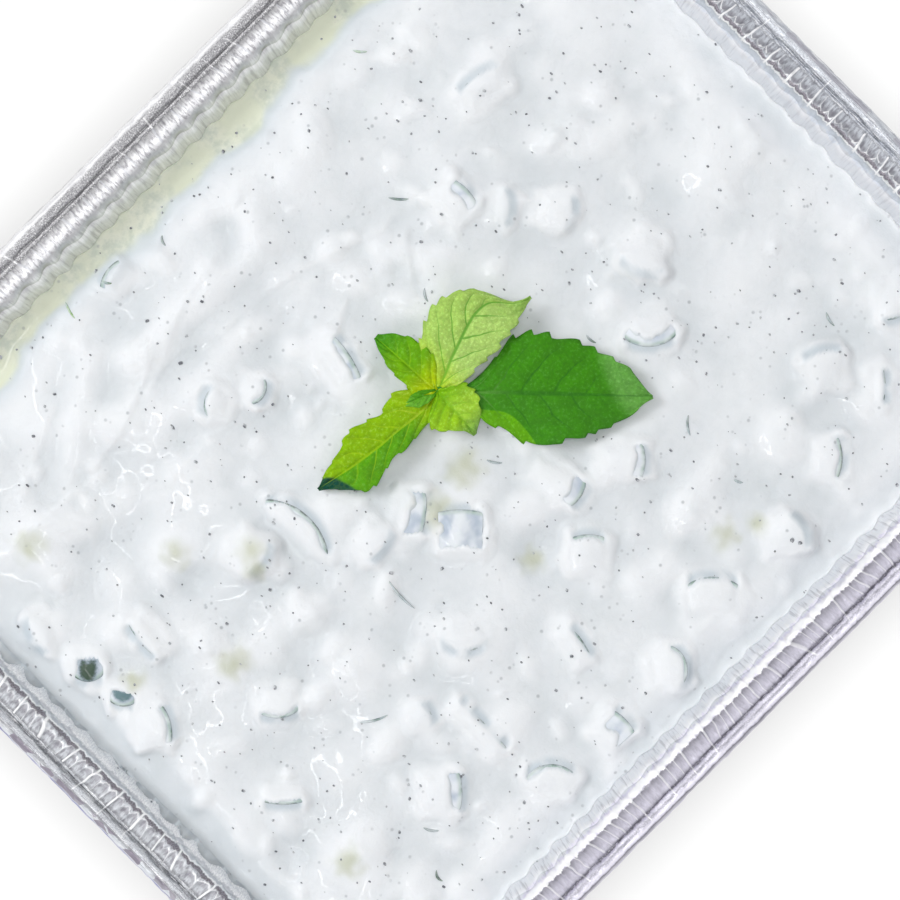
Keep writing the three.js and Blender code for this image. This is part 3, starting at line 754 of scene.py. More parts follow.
# %% [markdown]
# Small lumps are everywhere in the dip, from clots of yoghurt and buried bits of cucumber. They come
# from a seeded random draw, so that they fall in the same places on each run.

# %% Small lumps
# how many, least and greatest radius, least and greatest height in millimetres
LUMPS = [(80, 4.5, 9.0, 0.5, 1.7), (380, 2.0, 5.0, -0.35, 0.9)]


def small_lumps(x, y):
    draw = np.random.default_rng(7)
    total = np.zeros_like(x)
    for small, large, low, high in [row[1:] for row in LUMPS for _ in range(row[0])]:
        centre_x = draw.uniform(-142, 142) * MM
        centre_y = draw.uniform(-115, 115) * MM
        radius = draw.uniform(small, large) * MM
        stretch = draw.uniform(0.55, 1.0)
        turn = draw.uniform(0, math.pi)
        height = draw.uniform(low, high) * MM
        near = (np.abs(x - centre_x) < 2 * radius) & (np.abs(y - centre_y) < 2 * radius)
        run_x, run_y = x[near] - centre_x, y[near] - centre_y
        long_way = (run_x * math.cos(turn) + run_y * math.sin(turn)) / radius
        short_way = (run_y * math.cos(turn) - run_x * math.sin(turn)) / (radius * stretch)
        total[near] += height * np.exp(-((long_way**2 + short_way**2) ** 1.4))
    return total


# %% [markdown]
# Over each piece of cucumber the yoghurt makes a lump with soft shoulders. Near the piece's skin it
# has slid off, so that the skin's dark line shows. `drape` does both: it blends the level towards the
# piece's own top, plus a cover that turns negative where the piece shows.


# %% Drape the yoghurt over the cucumber
# millimetres: the cover at a piece's edge, what the middle adds, the cover where the piece shows,
# and how wide the shoulder round it is
COVER = 0.25
DOME = 1.0
SHOWN = -0.4
SHOULDER = 4.5


def drape(x, y, level):
    """Returns the level with every piece covered, and how thinly each point covers a piece, with painted
    shade beside each skin.
    """
    thin = np.zeros_like(x)
    for (_, place), cut in zip(cucumber, CUCUMBER):
        _, _, _, chord, bulge, flesh, share, _, _, shows, dark = cut
        radius, back, front = slice_shape(chord, bulge, flesh)
        reach = (max(chord / 2, front) + SHOULDER + 2) * MM
        centre = place.translation
        near = (np.abs(x - centre.x) < reach) & (np.abs(y - centre.y) < reach)
        if not near.any():
            continue
        ahead, left = (place.col[k].to_3d() for k in range(2))
        # u and v: millimetres ahead and to the left on the piece; depth: those under its skin
        run = np.stack([x[near] - centre.x, y[near] - centre.y])
        u = (run[0] * ahead.x + run[1] * ahead.y) / (ahead.x**2 + ahead.y**2) / MM
        u = u * math.hypot(ahead.x, ahead.y)
        v = (run[0] * left.x + run[1] * left.y) / MM
        depth = radius - np.hypot(u - (front - radius), v)
        # how far a point lies outside the piece's outline, which widens from its back to its skin
        widening = np.clip((u - back) / flesh, 0, 1)
        half = chord / 2 * (share + (1 - share) * widening)
        over = np.stack([np.abs(v) - half, back - u, -depth])
        most = over.max(axis=0)
        outside = np.where(most > 0, np.hypot.reduce(np.maximum(over, 0)), most)
        top = centre.z / MM + np.clip(u, back, front) * ahead.z
        # where the piece shows through the yoghurt: a ragged patch that starts at the skin
        seed = 50 + int(abs(centre.x) / MM)
        patch = (0.5 + shows) * noise(x[near] / MM / 3.2, y[near] / MM / 3.2, seed)
        bare = 0.3 + shows**2 * (flesh + bulge) * 0.9
        side = np.minimum(half - np.abs(v), u - back)
        lap = ease((side + patch) / (1.6 - 0.9 * shows))
        deep = np.maximum(depth, 0) + 2 * np.maximum(front - radius - u, 0)
        shown = ease((bare + patch - deep) / 1.2) * lap
        cover = COVER + DOME * (1 - np.exp(-np.maximum(np.minimum(side, depth), 0) / 2.2))
        cover = cover + (SHOWN - cover) * shown
        ledge = np.where(depth < 0, 0.35 * shown * ease(-depth), 0)
        wobble = 1.6 * noise(x[near] / MM / 4.5, y[near] / MM / 4.5, seed + 1)
        blend = ease(1 - (outside + wobble * ease(outside / 1.5)) / SHOULDER)
        level[near] += (top + cover - ledge - level[near]) * blend
        # the yoghurt is thin on the bare patch and along the outside of the skin, and the band beside
        # the skin is also painted shade
        film = 0.9 * shown * ease(-outside / 0.8 + 0.6)
        film_and_shade = ease((depth + 3.2) / 2.4) * ease((1.2 - depth) / 1.2)
        film_and_shade = film_and_shade * ease((half - np.abs(v) + 0.6) / 1.8) * ease(u / 2 + 0.5)
        film_and_shade = film_and_shade * min(1, 0.7 + dark) * ease(0.9 + patch)
        thin[near] = np.maximum(thin[near], np.maximum(film, film_and_shade))
    return level, thin


# %% [markdown]
# `pour_dip` puts it all together. The grid is a rectangle, so its outer cells are first drawn in to
# the tray's round corners, then pushed into the flutes. After the heights are set, the border is
# extruded down the wall, ring by ring, and closed at the bottom, which makes the dip one solid.

# %% Pour the dip
DIP_COLUMNS = 318
DIP_ROWS = 262
# how far the dip's edge reaches into the foil, so that no gap shows, and how many cells away the
# surroundings lie that a clot stands above
INTO_WALL = 0.2 * MM
NEARBY = 9


def into_corners(a, b, inset):
    """Maps a square from -1 to 1 onto the rounded outline at an inset."""
    half_x, half_y = LENGTH / 2 - inset, WIDTH / 2 - inset
    radius = CORNER - inset
    reach = np.maximum(np.maximum(np.abs(a), np.abs(b)), 1e-9)
    edge_x, edge_y = np.abs(a) / reach * half_x, np.abs(b) / reach * half_y
    centre_x, centre_y = half_x - radius, half_y - radius
    square = edge_x**2 + edge_y**2
    half = edge_x * centre_x + edge_y * centre_y
    rest = centre_x**2 + centre_y**2 - radius**2
    meet = (half + np.sqrt(np.maximum(half**2 - square * rest, 0))) / square
    scale = np.where((edge_x > centre_x) & (edge_y > centre_y), meet, 1.0)
    drawn = 1 + (scale - 1) * reach**4
    return a * half_x * drawn, b * half_y * drawn, reach


# x, y, radius of the spots where whey tints a hollow beside a lump, with the hollow's shade painted in
# too
OLIVE = [
    (-9.4, -49.5, 4.4), (-86, 30, 5), (-69, 14, 4.6), (-72, 9, 3.8), (38, -86, 5), (47, -90, 3.6),
    (-115, -75, 5.5), (-97, -6, 5.5), (-116, 64, 5.5), (-123, 12, 4.2), (-20, -18, 7), (-4, -14, 7),
]


def blurred(values, cells, times=2):
    """Averages a grid of values over squares of cells, so that only slow changes are left."""
    for _ in range(times):
        for axis in (0, 1):
            pad = [(0, 0), (0, 0)]
            pad[axis] = (cells + 1, cells)
            sums = np.cumsum(np.pad(values, pad, mode="edge"), axis=axis)
            far = np.take(sums, range(2 * cells + 1, sums.shape[axis]), axis=axis)
            near = np.take(sums, range(sums.shape[axis] - 2 * cells - 1), axis=axis)
            values = (far - near) / (2 * cells + 1)
    return values


def olive_tint(x, y):
    tint = np.zeros_like(x)
    for centre_x, centre_y, radius in OLIVE:
        wobble = 0.35 * noise(x / (2.5 * MM) + 80, y / (2.5 * MM) + 80, 46)
        away = np.hypot(x / MM - centre_x, y / MM - centre_y) / radius
        tint = np.maximum(tint, ease((1.35 - away + wobble) / 1.5))
    return tint


def dip_surface(sheet):
    """Each point's place, and how much whey, thin film and wall is there."""
    points = points_of(sheet)
    edge_inset = wall_inset(DIP_EDGE)
    x, y, reach = into_corners(2 * points[:, 0], 2 * points[:, 1], edge_inset)
    place, _, outward_x, outward_y = facing_wall(x, y)
    climb = creep(place, outward_x, outward_y)
    push = flute_push(place, outline(place)[3], FLUTE_HEAD) + climb * math.tan(WALL_LEAN)
    push = push + INTO_WALL
    x = x + outward_x * push * reach**24
    y = y + outward_y * push * reach**24
    place, inset, outward_x, outward_y = facing_wall(x, y)
    gap = np.maximum(inset - edge_inset + push, 0)
    # the level: broad swells, then lumps, folds and fine unevenness, which fade out at the wall
    level = broad_level(x, y)
    far = ease((inset - edge_inset) / (4 * MM))
    level = level + small_lumps(x, y) * far
    for line in FOLDS:
        level = level + fold(x / MM, y / MM, *line) * MM * far
    level = level + noise(x / (11 * MM) + 90, y / (11 * MM) + 90, 44) * 0.4 * MM * far
    level = level + noise(x / (4.2 * MM) + 90, y / (4.2 * MM) + 90, 45) * 0.06 * MM * far
    level, thin = drape(x, y, level / MM)
    level = level * MM
    # the whey's flat strip, the creep up the wall, and where the yoghurt is only a thin film
    pooled = pool_share(x, inset, outward_y)
    level = level + (POOL_LEVEL - level) * pooled
    level = level + climb * np.exp(-gap / (1.1 * MM))
    smear = 0.8 * ease(climb / (3 * MM) - 0.5) * np.exp(-gap / (1.6 * MM))
    damp = 0.75 * pool_share(x, inset, outward_y, bank=10 * MM, wider=4 * MM)
    thin = np.maximum(np.maximum(thin, smear), damp)
    return x, y, level, pooled, thin, np.exp(-gap / (6 * MM))


def pour_dip():
    sheet = flat_sheet("dip", DIP_COLUMNS, DIP_ROWS)
    x, y, z, pooled, thin, border = dip_surface(sheet)
    place_points(sheet, np.column_stack([x, y, z]))
    level = z.reshape(DIP_ROWS + 1, DIP_COLUMNS + 1) / MM
    point_values(sheet, "whey", pooled)
    point_values(sheet, "thin", thin)
    point_values(sheet, "olive", olive_tint(x, y))
    # hollows come out grey, partly as painted shade, and the wall term paints the dip lighter near the
    # wall
    point_values(sheet, "stands", (level - blurred(level, NEARBY)).ravel() + 0.7 * border)
    return sheet


dip = pour_dip()
dip_points = points_of(dip)
dip_heights = dip_points[:, 2]
print("the dip stands", [round(v / MM, 1) for v in (dip_heights.min(), dip_heights.max())])

# %% Close the dip into a solid
# the heights of the rings down the wall, how far each keeps off the wall, and how much further in
# the lowest one lies, since the wall's heel is round
DIP_BOTTOM = FLOOR_Z + 0.3 * MM
DIP_RINGS = [44 * MM, 30 * MM, 12 * MM, 5.2 * MM, DIP_BOTTOM]
OFF_WALL = 0.4 * MM
OFF_HEEL = 4.2 * MM


def close_dip(sheet):
    """Extrudes the border down the wall, ring by ring, and closes the bottom."""
    start_edit(sheet)
    bpy.ops.mesh.select_mode(type="EDGE")
    bpy.ops.mesh.select_all(action="DESELECT")
    bpy.ops.mesh.select_non_manifold()
    for ring_z in DIP_RINGS:
        bpy.ops.mesh.extrude_edges_move()
        end_edit()
        points = points_of(sheet)
        chosen = np.zeros(len(points), dtype=bool)
        sheet.data.vertices.foreach_get("select", chosen)
        x, y = points[chosen, 0], points[chosen, 1]
        _, inset, outward_x, outward_y = facing_wall(x, y)
        heel = OFF_HEEL if ring_z == DIP_BOTTOM else 0.0
        shift = inset - (wall_inset(ring_z) + FLUTE_HEAD + OFF_WALL + heel)
        points[chosen, 0] = x + outward_x * shift
        points[chosen, 1] = y + outward_y * shift
        points[chosen, 2] = ring_z
        place_points(sheet, points)
        bpy.ops.object.mode_set(mode="EDIT")
    bpy.ops.mesh.edge_face_add()
    bpy.ops.mesh.select_all(action="SELECT")
    bpy.ops.mesh.normals_make_consistent(inside=False)
    end_edit()
    if volume_of(sheet) < 0:
        start_edit(sheet)
        bpy.ops.mesh.flip_normals()
        end_edit()
    smooth(sheet)


close_dip(dip)
print("the dip has", len(dip.data.polygons), "faces and", round(volume_of(dip) * 1e6), "millilitres")

# %% [markdown]
# Thin slivers of cucumber skin lie on the dip, seen edge-on. Each is a ball drawn out to a spindle
# and bent a little. The spindles follow the dip's surface and are one mesh. They carry the same
# numbers as the pieces, so that one finish suits both: no depth under the skin, how dark, how fresh.

# %% Lay the slivers of skin
# x, y, turn in degrees, length, bend in millimetres, how dark, how fresh a green
SLIVERS = [
    (3.4, -19.6, -55, 5, 0.4, 0.8, 0), (53.7, -53.7, -130, 6.5, 0.6, 0.5, 0),
    (63.8, 99.5, -50, 4.5, 0.3, 0.2, 0.9), (-56.2, 106.1, -103, 6.5, 0.2, 0.3, 1),
    (-20.7, 101.1, -115, 3.6, 0.5, 0.6, 0), (40, 58.8, -50, 6.5, 0.3, 0.4, 0),
    (-46.2, -27.6, -94, 13, 0.8, 0.45, 0), (107.8, -61.6, -105, 5, 0.4, 0.4, 0),
    (52.5, -77, -65, 3, 0.2, 0.4, 0), (-79, -49.7, -30, 9, 0.6, 0.3, 0),
    (-90.7, -86.1, -55, 5, 0.5, 0.45, 0), (-99.4, -97.6, -105, 4, 0.8, 0.75, 0),
    (24.7, 32, -120, 4.5, 0.5, 0.65, 0), (51.2, -13.8, -85, 4, 0.4, 0.5, 0),
    (-42, 104, -60, 3.4, 0.4, 0.9, 0.3),
]
SLIVER_HALF_WIDTH, SLIVER_HALF_HEIGHT = 0.42, 0.5


def lay_slivers():
    deselect()
    lying = (0, math.pi / 2, 0)
    bpy.ops.mesh.primitive_uv_sphere_add(segments=16, ring_count=8, radius=1, rotation=lying)
    sliver = settle("cucumber_slivers")
    shape = points_of(sliver)
    faces = [tuple(face.vertices) for face in sliver.data.polygons]
    points, joined, dark, fresh = [], [], [], []
    for x, y, turn, length, bend, darkness, freshness in SLIVERS:
        u = shape[:, 0] * length / 2
        v = shape[:, 1] * SLIVER_HALF_WIDTH + bend * shape[:, 0] ** 2
        angle = math.radians(turn)
        at_x = (x + u * math.cos(angle) - v * math.sin(angle)) * MM
        at_y = (y + u * math.sin(angle) + v * math.cos(angle)) * MM
        away_x, away_y = (dip_points[None, :, k] - at[:, None] for k, at in enumerate((at_x, at_y)))
        under = dip_points[(away_x**2 + away_y**2).argmin(axis=1), 2]
        low, high = under.min(), under.max()
        lie = (low + high) / 2 + (under - (low + high) / 2) * 0.8
        joined += [tuple(k + len(points) * len(shape) for k in face) for face in faces]
        points.append(np.column_stack([at_x, at_y, lie + shape[:, 2] * SLIVER_HALF_HEIGHT * MM]))
        dark.append(np.full(len(shape), darkness))
        fresh.append(np.full(len(shape), freshness))
    rebuild(sliver, np.concatenate(points), joined)
    point_values(sliver, "dark", np.concatenate(dark))
    point_values(sliver, "fresh", np.concatenate(fresh))
    vector_values(sliver, "slice", np.zeros((len(sliver.data.vertices), 3)))
    smooth(sliver)
    return sliver


slivers = lay_slivers()
print("laid", len(SLIVERS), "slivers of skin")

# %% [markdown]
# ## Black pepper
#
# Ground pepper is a scatter of small dark flakes. One flake is a crushed ball of a few faces. It is
# copied at random sizes and turns onto the dip's surface, half sunk, and all the copies are one mesh.

# %% Scatter the pepper
PEPPER_COUNT = 950


def one_flake():
    deselect()
    bpy.ops.mesh.primitive_ico_sphere_add(subdivisions=1, radius=1)
    flake = rename("pepper")
    points = points_of(flake)
    points *= 1 + 0.35 * np.random.default_rng(3).uniform(-1, 1, points.shape)
    return flake, points


def scatter_pepper(count):
    flake, shape = one_flake()
    draw = np.random.default_rng(5)
    seats = dip_points[np.abs(dip_points[:, 2] - DIP_EDGE) < 7 * MM]
    seats = seats[draw.integers(0, len(seats), count)]
    seats[:, :2] += draw.uniform(-0.4, 0.4, (count, 2)) * MM
    sizes = draw.uniform(0.2, 0.5, count) + 0.4 * draw.uniform(0, 1, count) ** 5
    angles = draw.uniform(0, 2 * math.pi, count)
    faces = np.array([list(face.vertices) for face in flake.data.polygons])
    cosine, sine = np.cos(angles), np.sin(angles)
    spin = np.stack([cosine, -sine, sine, cosine], axis=1)
    turned = np.einsum("nij,kj->nki", spin.reshape(-1, 2, 2), shape[:, :2])
    turned[:, :, 0] *= draw.uniform(0.55, 1.0, count)[:, None]
    copies = np.empty((count, len(shape), 3))
    copies[:, :, :2] = turned * sizes[:, None, None] * MM + seats[:, None, :2]
    copies[:, :, 2] = shape[None, :, 2] * sizes[:, None] * 0.6 * MM + seats[:, None, 2]
    offsets = np.arange(count)[:, None, None] * len(shape)
    rebuild(flake, copies.reshape(-1, 3), (faces[None] + offsets).reshape(-1, 3))
    return flake


pepper = scatter_pepper(PEPPER_COUNT)
print("scattered", PEPPER_COUNT, "flakes of pepper")

# %% [markdown]
# ## Mint
#
# Each leaf is a sheet whose two sides widen and narrow along its midrib, with a toothed edge. The
# half-widths are read from a few numbers along the leaf, joined by a smooth curve. The blade is then
# arched, folded along its midrib, waved at the margin, and puffed up between the side veins.

# %% The mint's leaves
# where the leaves meet: millimetres, with the height above the dip's edge level
MINT_NODE = (6.4, 8.3, 8.5)
# base and tip: millimetres, with heights above the dip's edge level; bow: the midrib's rise between
# them; fold: the rise of the sides to the margin; bend: how far the midrib swings left on its way;
# left and right: the half-widths on the way; teeth: the places of the teeth's points, as shares of
# the length; wave and waves: the margin's; veins and slant: how many side veins, and how far forward
# they run
LEAVES = {
    "mint_leaf_large": {
        "base": (6.4, 8.3, 8.4), "tip": (52.1, -39.6, 7), "bow": 3.5, "fold": -0.1,
        "left": (1.2, 1.4, 7, 16.6, 18.8, 17.4, 15.8, 12.4, 8.2, 0.4),
        "right": (1.2, 1.2, 8.6, 12, 16, 14.8, 13, 10.4, 6.5, 0.4),
        "wave": 1.1, "waves": 2.4, "veins": 7, "slant": 1.5,
        "left_teeth": (0.27, 0.35, 0.44, 0.52, 0.655, 0.735, 0.82, 0.9),
        "right_teeth": (0.28, 0.415, 0.59, 0.695, 0.745, 0.82, 0.935),
    },
    "mint_leaf_pale": {
        "base": (6.6, 8.4, 8.8), "tip": (47, 8.2, 10), "bow": 3.4, "fold": 0.06,
        "bend": (0, 1.6, 3.8, 5.6, 7.4, 8.5, 7.6, 2.4, 0),
        "left": (1.5, 11, 12.6, 13.1, 11.5, 8.6, 5.6, 0.8, 0.3),
        "right": (1.5, 4.8, 7.5, 9.3, 11.7, 11.9, 10.6, 3.8, 0.3),
        "wave": 0.9, "waves": 2, "veins": 5.5, "slant": 1.9,
        "left_teeth": (0.1, 0.19, 0.3, 0.43, 0.53, 0.66, 0.74, 0.83),
        "right_teeth": (0.3, 0.44, 0.58, 0.7, 0.8, 0.92),
    },
    "mint_leaf_upper": {
        "base": (6.3, 8.5, 8.8), "tip": (4.8, 33.4, 8), "bow": 2.5, "fold": 0.12,
        "left": (1.3, 5, 5.2, 4.9, 4.8, 4.4, 3.3, 2.3, 0.7),
        "right": (1.3, 4.4, 6.4, 7.9, 7.8, 7.4, 6, 4.3, 1),
        "wave": 0.6, "waves": 1.5, "veins": 5, "slant": 1.5,
        "left_teeth": (0.3, 0.52, 0.71), "right_teeth": (0.34, 0.55, 0.72),
    },
    "mint_leaf_long": {
        "base": (6.2, 8.2, 8.8), "tip": (-40.7, 12.9, 5.6), "bow": 2.4, "fold": 0.14,
        "bend": (0, 1.6, 1.9, 1.7, 1.9, 1.6, 1.2, 0.6, 0),
        "left": (1.3, 3.8, 4.4, 5.8, 5.4, 7.9, 8.9, 4.2, 0.3),
        "right": (1.3, 7.4, 9.8, 7.4, 9, 9, 5.8, 3.6, 0.3),
        "wave": 0.8, "waves": 2.2, "veins": 7, "slant": 1.5,
        "left_teeth": (0.15, 0.3, 0.43, 0.56, 0.7, 0.78, 0.9),
        "right_teeth": (0.24, 0.35, 0.47, 0.6, 0.68, 0.81, 0.94),
    },
    "mint_leaf_small": {
        "base": (6.4, 8.1, 9.2), "tip": (5.4, -9.4, 8.4), "bow": 3, "fold": 0.02,
        "left": (1.3, 7.4, 8.4, 8.6, 6.8, 4.8, 0.5), "right": (1.3, 5.5, 8.7, 8.2, 5, 1.8, 0.5),
        "wave": 0.7, "waves": 1.6, "veins": 5, "slant": 1.4,
        "left_teeth": (0.25, 0.42, 0.6, 0.78), "right_teeth": (0.3, 0.45, 0.62, 0.8),
    },
    "mint_leaf_bud": {
        "base": (6.2, 8.5, 8.9), "tip": (-3.4, 12.2, 11.2), "bow": 0.8, "fold": 0.3,
        "left": (0.9, 2.2, 2.4, 0.3), "right": (0.9, 1.8, 2, 0.3),
        "wave": 0.2, "waves": 1, "veins": 4, "slant": 1.2,
        "left_teeth": (0.4, 0.7), "right_teeth": (0.5, 0.8),
    },
}
LEAF_COLUMNS = 84
LEAF_ROWS = 28
LEAF_THICKNESS = 0.35 * MM


# %% Grow the leaves
def along(values, t):
    """A smooth curve through values at even steps, read at t from 0 to 1."""
    values = np.asarray(values, dtype=float)
    spot = np.clip(t, 0, 1) * (len(values) - 1)
    k = np.minimum(spot.astype(int), len(values) - 2)
    w = spot - k
    before = values[np.maximum(k - 1, 0)]
    here, there = values[k], values[k + 1]
    after = values[np.minimum(k + 2, len(values) - 1)]
    rise, fall = (there - before) / 2, (after - here) / 2
    cubic = (2 * here - 2 * there + rise + fall) * w**3
    return cubic + (-3 * here + 3 * there - 2 * rise - fall) * w**2 + rise * w + here


def side_veins(t, across, count, slant):
    """Height from 0 at a side vein to 1 between two of them. The two sides' veins take turns."""
    phase = t * count - slant * (0.55 * np.abs(across) + 0.45 * across**2) + 0.25 * np.sign(across)
    return np.abs(np.sin(math.pi * phase)) ** 0.6


def toothed(t, points):
    """Rises slowly from 0 after one tooth to 1 at the next one's point, then falls at once."""
    stops = np.array([0.0, *points, 1.0])
    k = np.clip(np.searchsorted(stops, t, side="left") - 1, 0, len(stops) - 2)
    run = (t - stops[k]) / (stops[k + 1] - stops[k])
    return np.where(k == len(stops) - 2, 0.3, ease(run))


def grow_leaf(name, leaf):
    sheet = flat_sheet(name, LEAF_COLUMNS, LEAF_ROWS)
    grid = points_of(sheet)
    t, across = grid[:, 0] + 0.5, 2 * grid[:, 1]
    base, tip = np.array(leaf["base"]), np.array(leaf["tip"])
    heading = math.atan2(tip[1] - base[1], tip[0] - base[0])
    side = np.array([-math.sin(heading), math.cos(heading)])
    is_left = across > 0
    width = np.where(is_left, along(leaf["left"], t), along(leaf["right"], t))
    tooth = np.where(is_left, toothed(t, leaf["left_teeth"]), toothed(t, leaf["right_teeth"]))
    edge = 0.95 + 0.1 * tooth * np.abs(across) ** 6
    reach = width * edge * np.abs(across)
    arch = 4 * t * (1 - t)
    sway = leaf["wave"] * across**2 * np.sin(2 * math.pi * leaf["waves"] * t + across)
    puff = 0.5 * side_veins(t, across, leaf["veins"], leaf["slant"]) * ease(np.abs(across) * 5)
    puff = puff * ease(width / 6) * (1 - np.abs(across) ** 4)
    groove = -0.35 * np.exp(-((reach / 0.5) ** 2))
    run = np.outer(1 - t, base[:2]) + np.outer(t, tip[:2])
    swing = along(leaf.get("bend", (0, 0)), t) + reach * np.sign(across)
    run = run + np.outer(swing, side)
    lift = base[2] * (1 - t) + tip[2] * t + leaf["bow"] * arch + leaf["fold"] * reach
    lift = lift + sway + puff + groove + DIP_EDGE / MM
    place_points(sheet, np.column_stack([run, lift]) * MM)
    give_thickness(sheet, LEAF_THICKNESS)
    smooth(sheet)
    return sheet


leaves = {name: grow_leaf(name, leaf) for name, leaf in LEAVES.items()}
print("grew", len(leaves), "leaves")

# %% [markdown]
# The leaves meet at a node, where the stem was cut. The stem is a short rod: a cylinder with bevelled
# ends, so that it ends in a soft knob under the leaves. Its foot is sunk in the dip.


# %% The mint's stem
STEM_RADIUS = 1.2 * MM
STEM_UNDER = 5 * MM


def grow_stem():
    x, y, above = MINT_NODE
    foot = level_at(x, y) - STEM_UNDER
    head = DIP_EDGE + (above + 0.2) * MM
    deselect()
    bpy.ops.mesh.primitive_cylinder_add(
        vertices=20,
        radius=STEM_RADIUS,
        depth=head - foot,
        location=(x * MM, y * MM, (head + foot) / 2),
    )
    stem = settle("mint_stem")
    start_edit(stem)
    round_edges(60, 0.5 * MM, 3)
    bpy.ops.object.shade_smooth_by_angle(angle=math.radians(60))
    return stem


mint_stem = grow_stem()
print("the stem is", round(mint_stem.dimensions.z / MM, 1), "mm long")

# %% [markdown]
# ## Finishes
#
# Every material is a Principled shader fed by procedural nodes, so nothing depends on a picture.
# `Shader` below keeps the node code short: it adds nodes and joins them. What a node puts out is a
# `Value`, and the signs + - * / between values add the matching math nodes.


# %% Helpers for materials
def sign(operation, turned=False):
    """A method of Value that stands for one of the signs."""

    def method(self, other):
        pair = (other, self) if turned else (self, other)
        return self.shader.math(operation, *pair)

    return method


class Value:
    """A number, colour or vector that a node puts out."""

    def __init__(self, shader, socket):
        self.shader = shader
        self.socket = socket

    __add__, __radd__ = sign("ADD"), sign("ADD", True)
    __sub__, __rsub__ = sign("SUBTRACT"), sign("SUBTRACT", True)
    __mul__, __rmul__ = sign("MULTIPLY"), sign("MULTIPLY", True)
    __truediv__ = sign("DIVIDE")


class Shader:
    """A material, or a node group, under construction."""

    def __init__(self, tree):
        self.tree = tree

    def feed(self, node, **inputs):
        """Joins values to a node's inputs: Base_Color is the input Base Color, and _0 is the first."""
        for key, value in inputs.items():
            key = key.replace("_", " ").strip()
            socket = node.inputs[int(key) if key.isdigit() else key]
            if isinstance(value, Value):
                self.tree.links.new(value.socket, socket)
            else:
                socket.default_value = value

    def add(self, kind, settings=None, **inputs):
        node = self.tree.nodes.new(kind)
        for key, value in (settings or {}).items():
            setattr(node, key, value)
        self.feed(node, **inputs)
        return node

    def outputs(self, kind, settings=None, **inputs):
        return [Value(self, socket) for socket in self.add(kind, settings, **inputs).outputs]

    def output(self, name, kind, settings=None, **inputs):
        return Value(self, self.add(kind, settings, **inputs).outputs[name])

    def math(self, operation, *values):
        inputs = {f"_{k}": value for k, value in enumerate(values)}
        return self.output(0, "ShaderNodeMath", {"operation": operation}, **inputs)

    def mix(self, share, first, second):
        """The first colour where the share is 0 and the second where it is 1."""
        return self.output(2, "ShaderNodeMix", {"data_type": "RGBA"}, _0=share, _6=first, _7=second)

    def layers(self, colour, *layers):
        """Lays more colours over one, each with its own share."""
        for share, over in layers:
            colour = self.mix(share, colour, over)
        return colour

    def ramp(self, value, low, high, start=0, end=1):
        """Goes smoothly from start to end while a value goes from low to high."""
        ends = {"From_Min": low, "From_Max": high, "To_Min": start, "To_Max": end}
        settings = {"interpolation_type": "SMOOTHSTEP"}
        return self.output(0, "ShaderNodeMapRange", settings, Value=value, **ends)

    def noise(self, vector, scale, detail=2, roughness=0.5):
        look = {"Scale": scale, "Detail": detail, "Roughness": roughness}
        return self.output("Fac", "ShaderNodeTexNoise", Vector=vector, **look)

    def flat_noise(self, x, y, scale_x, scale_y, detail=2):
        return self.noise(self.flat(x * scale_x, y * scale_y), 1, detail, 0.6)

    def draw(self, number):
        """A random number from 0 to 1 for each value of a number."""
        return self.output(0, "ShaderNodeTexWhiteNoise", {"noise_dimensions": "1D"}, W=number)

    def bump(self, height, strength, distance, normal=None):
        inputs = {"Height": height, "Strength": strength, "Distance": distance}
        if normal is not None:
            inputs["Normal"] = normal
        return self.output(0, "ShaderNodeBump", **inputs)

    def attribute(self, name, output="Fac"):
        return self.output(output, "ShaderNodeAttribute", {"attribute_name": name})

    def flat(self, x, y):
        """Two numbers as a vector."""
        return self.output(0, "ShaderNodeCombineXYZ", X=x, Y=y)

    def three(self, vector):
        """The three numbers of a vector."""
        return self.outputs("ShaderNodeSeparateXYZ", Vector=vector)

    def length(self, x, y):
        return self.math("SQRT", x * x + y * y)

    def from_whole(self, value):
        """How far a value is from the nearest whole number."""
        part = self.math("FRACT", value)
        return self.math("MINIMUM", part, 1 - part)

    def arch(self, value):
        """0 at each whole number and 1 half-way between two of them."""
        part = self.math("FRACT", value)
        return part * (1 - part) * 4

    def band(self, value, middle, half, soft):
        """1 where a value is within half of a middle, falling to 0 over a soft edge."""
        return self.ramp(self.math("ABSOLUTE", value - middle), half, half + soft, 1, 0)

    def colours_at(self, value, reach, stops):
        """A colour ramp with its stops at places from 0 to reach."""
        node = self.add("ShaderNodeValToRGB", Fac=value / reach)
        elements = node.color_ramp.elements
        elements.remove(elements[1])
        for k, (place, colour) in enumerate(stops):
            stop = elements[0] if k == 0 else elements.new(place / reach)
            stop.position = place / reach
            stop.color = rgb(*colour)
        return Value(self, node.outputs[0])


def new_material(name):
    material = bpy.data.materials.new(name)
    material.use_nodes = True
    material.node_tree.nodes.clear()
    shader = Shader(material.node_tree)
    principled = shader.add("ShaderNodeBsdfPrincipled")
    shader.add("ShaderNodeOutputMaterial", _0=Value(shader, principled.outputs[0]))
    where = shader.output("Object", "ShaderNodeTexCoord")
    return material, shader, principled, where


def rgb(red, green, blue):
    """A screen colour from 0 to 255 as the linear colour that a shader takes."""
    parts = [c / 255 for c in (red, green, blue)]
    linear = [c / 12.92 if c <= 0.04045 else ((c + 0.055) / 1.055) ** 2.4 for c in parts]
    return (*linear, 1.0)


def grey(level, blue=None):
    """A linear grey, which can have its own blue."""
    return (level, level, level if blue is None else blue, 1.0)


WHITE = grey(1)

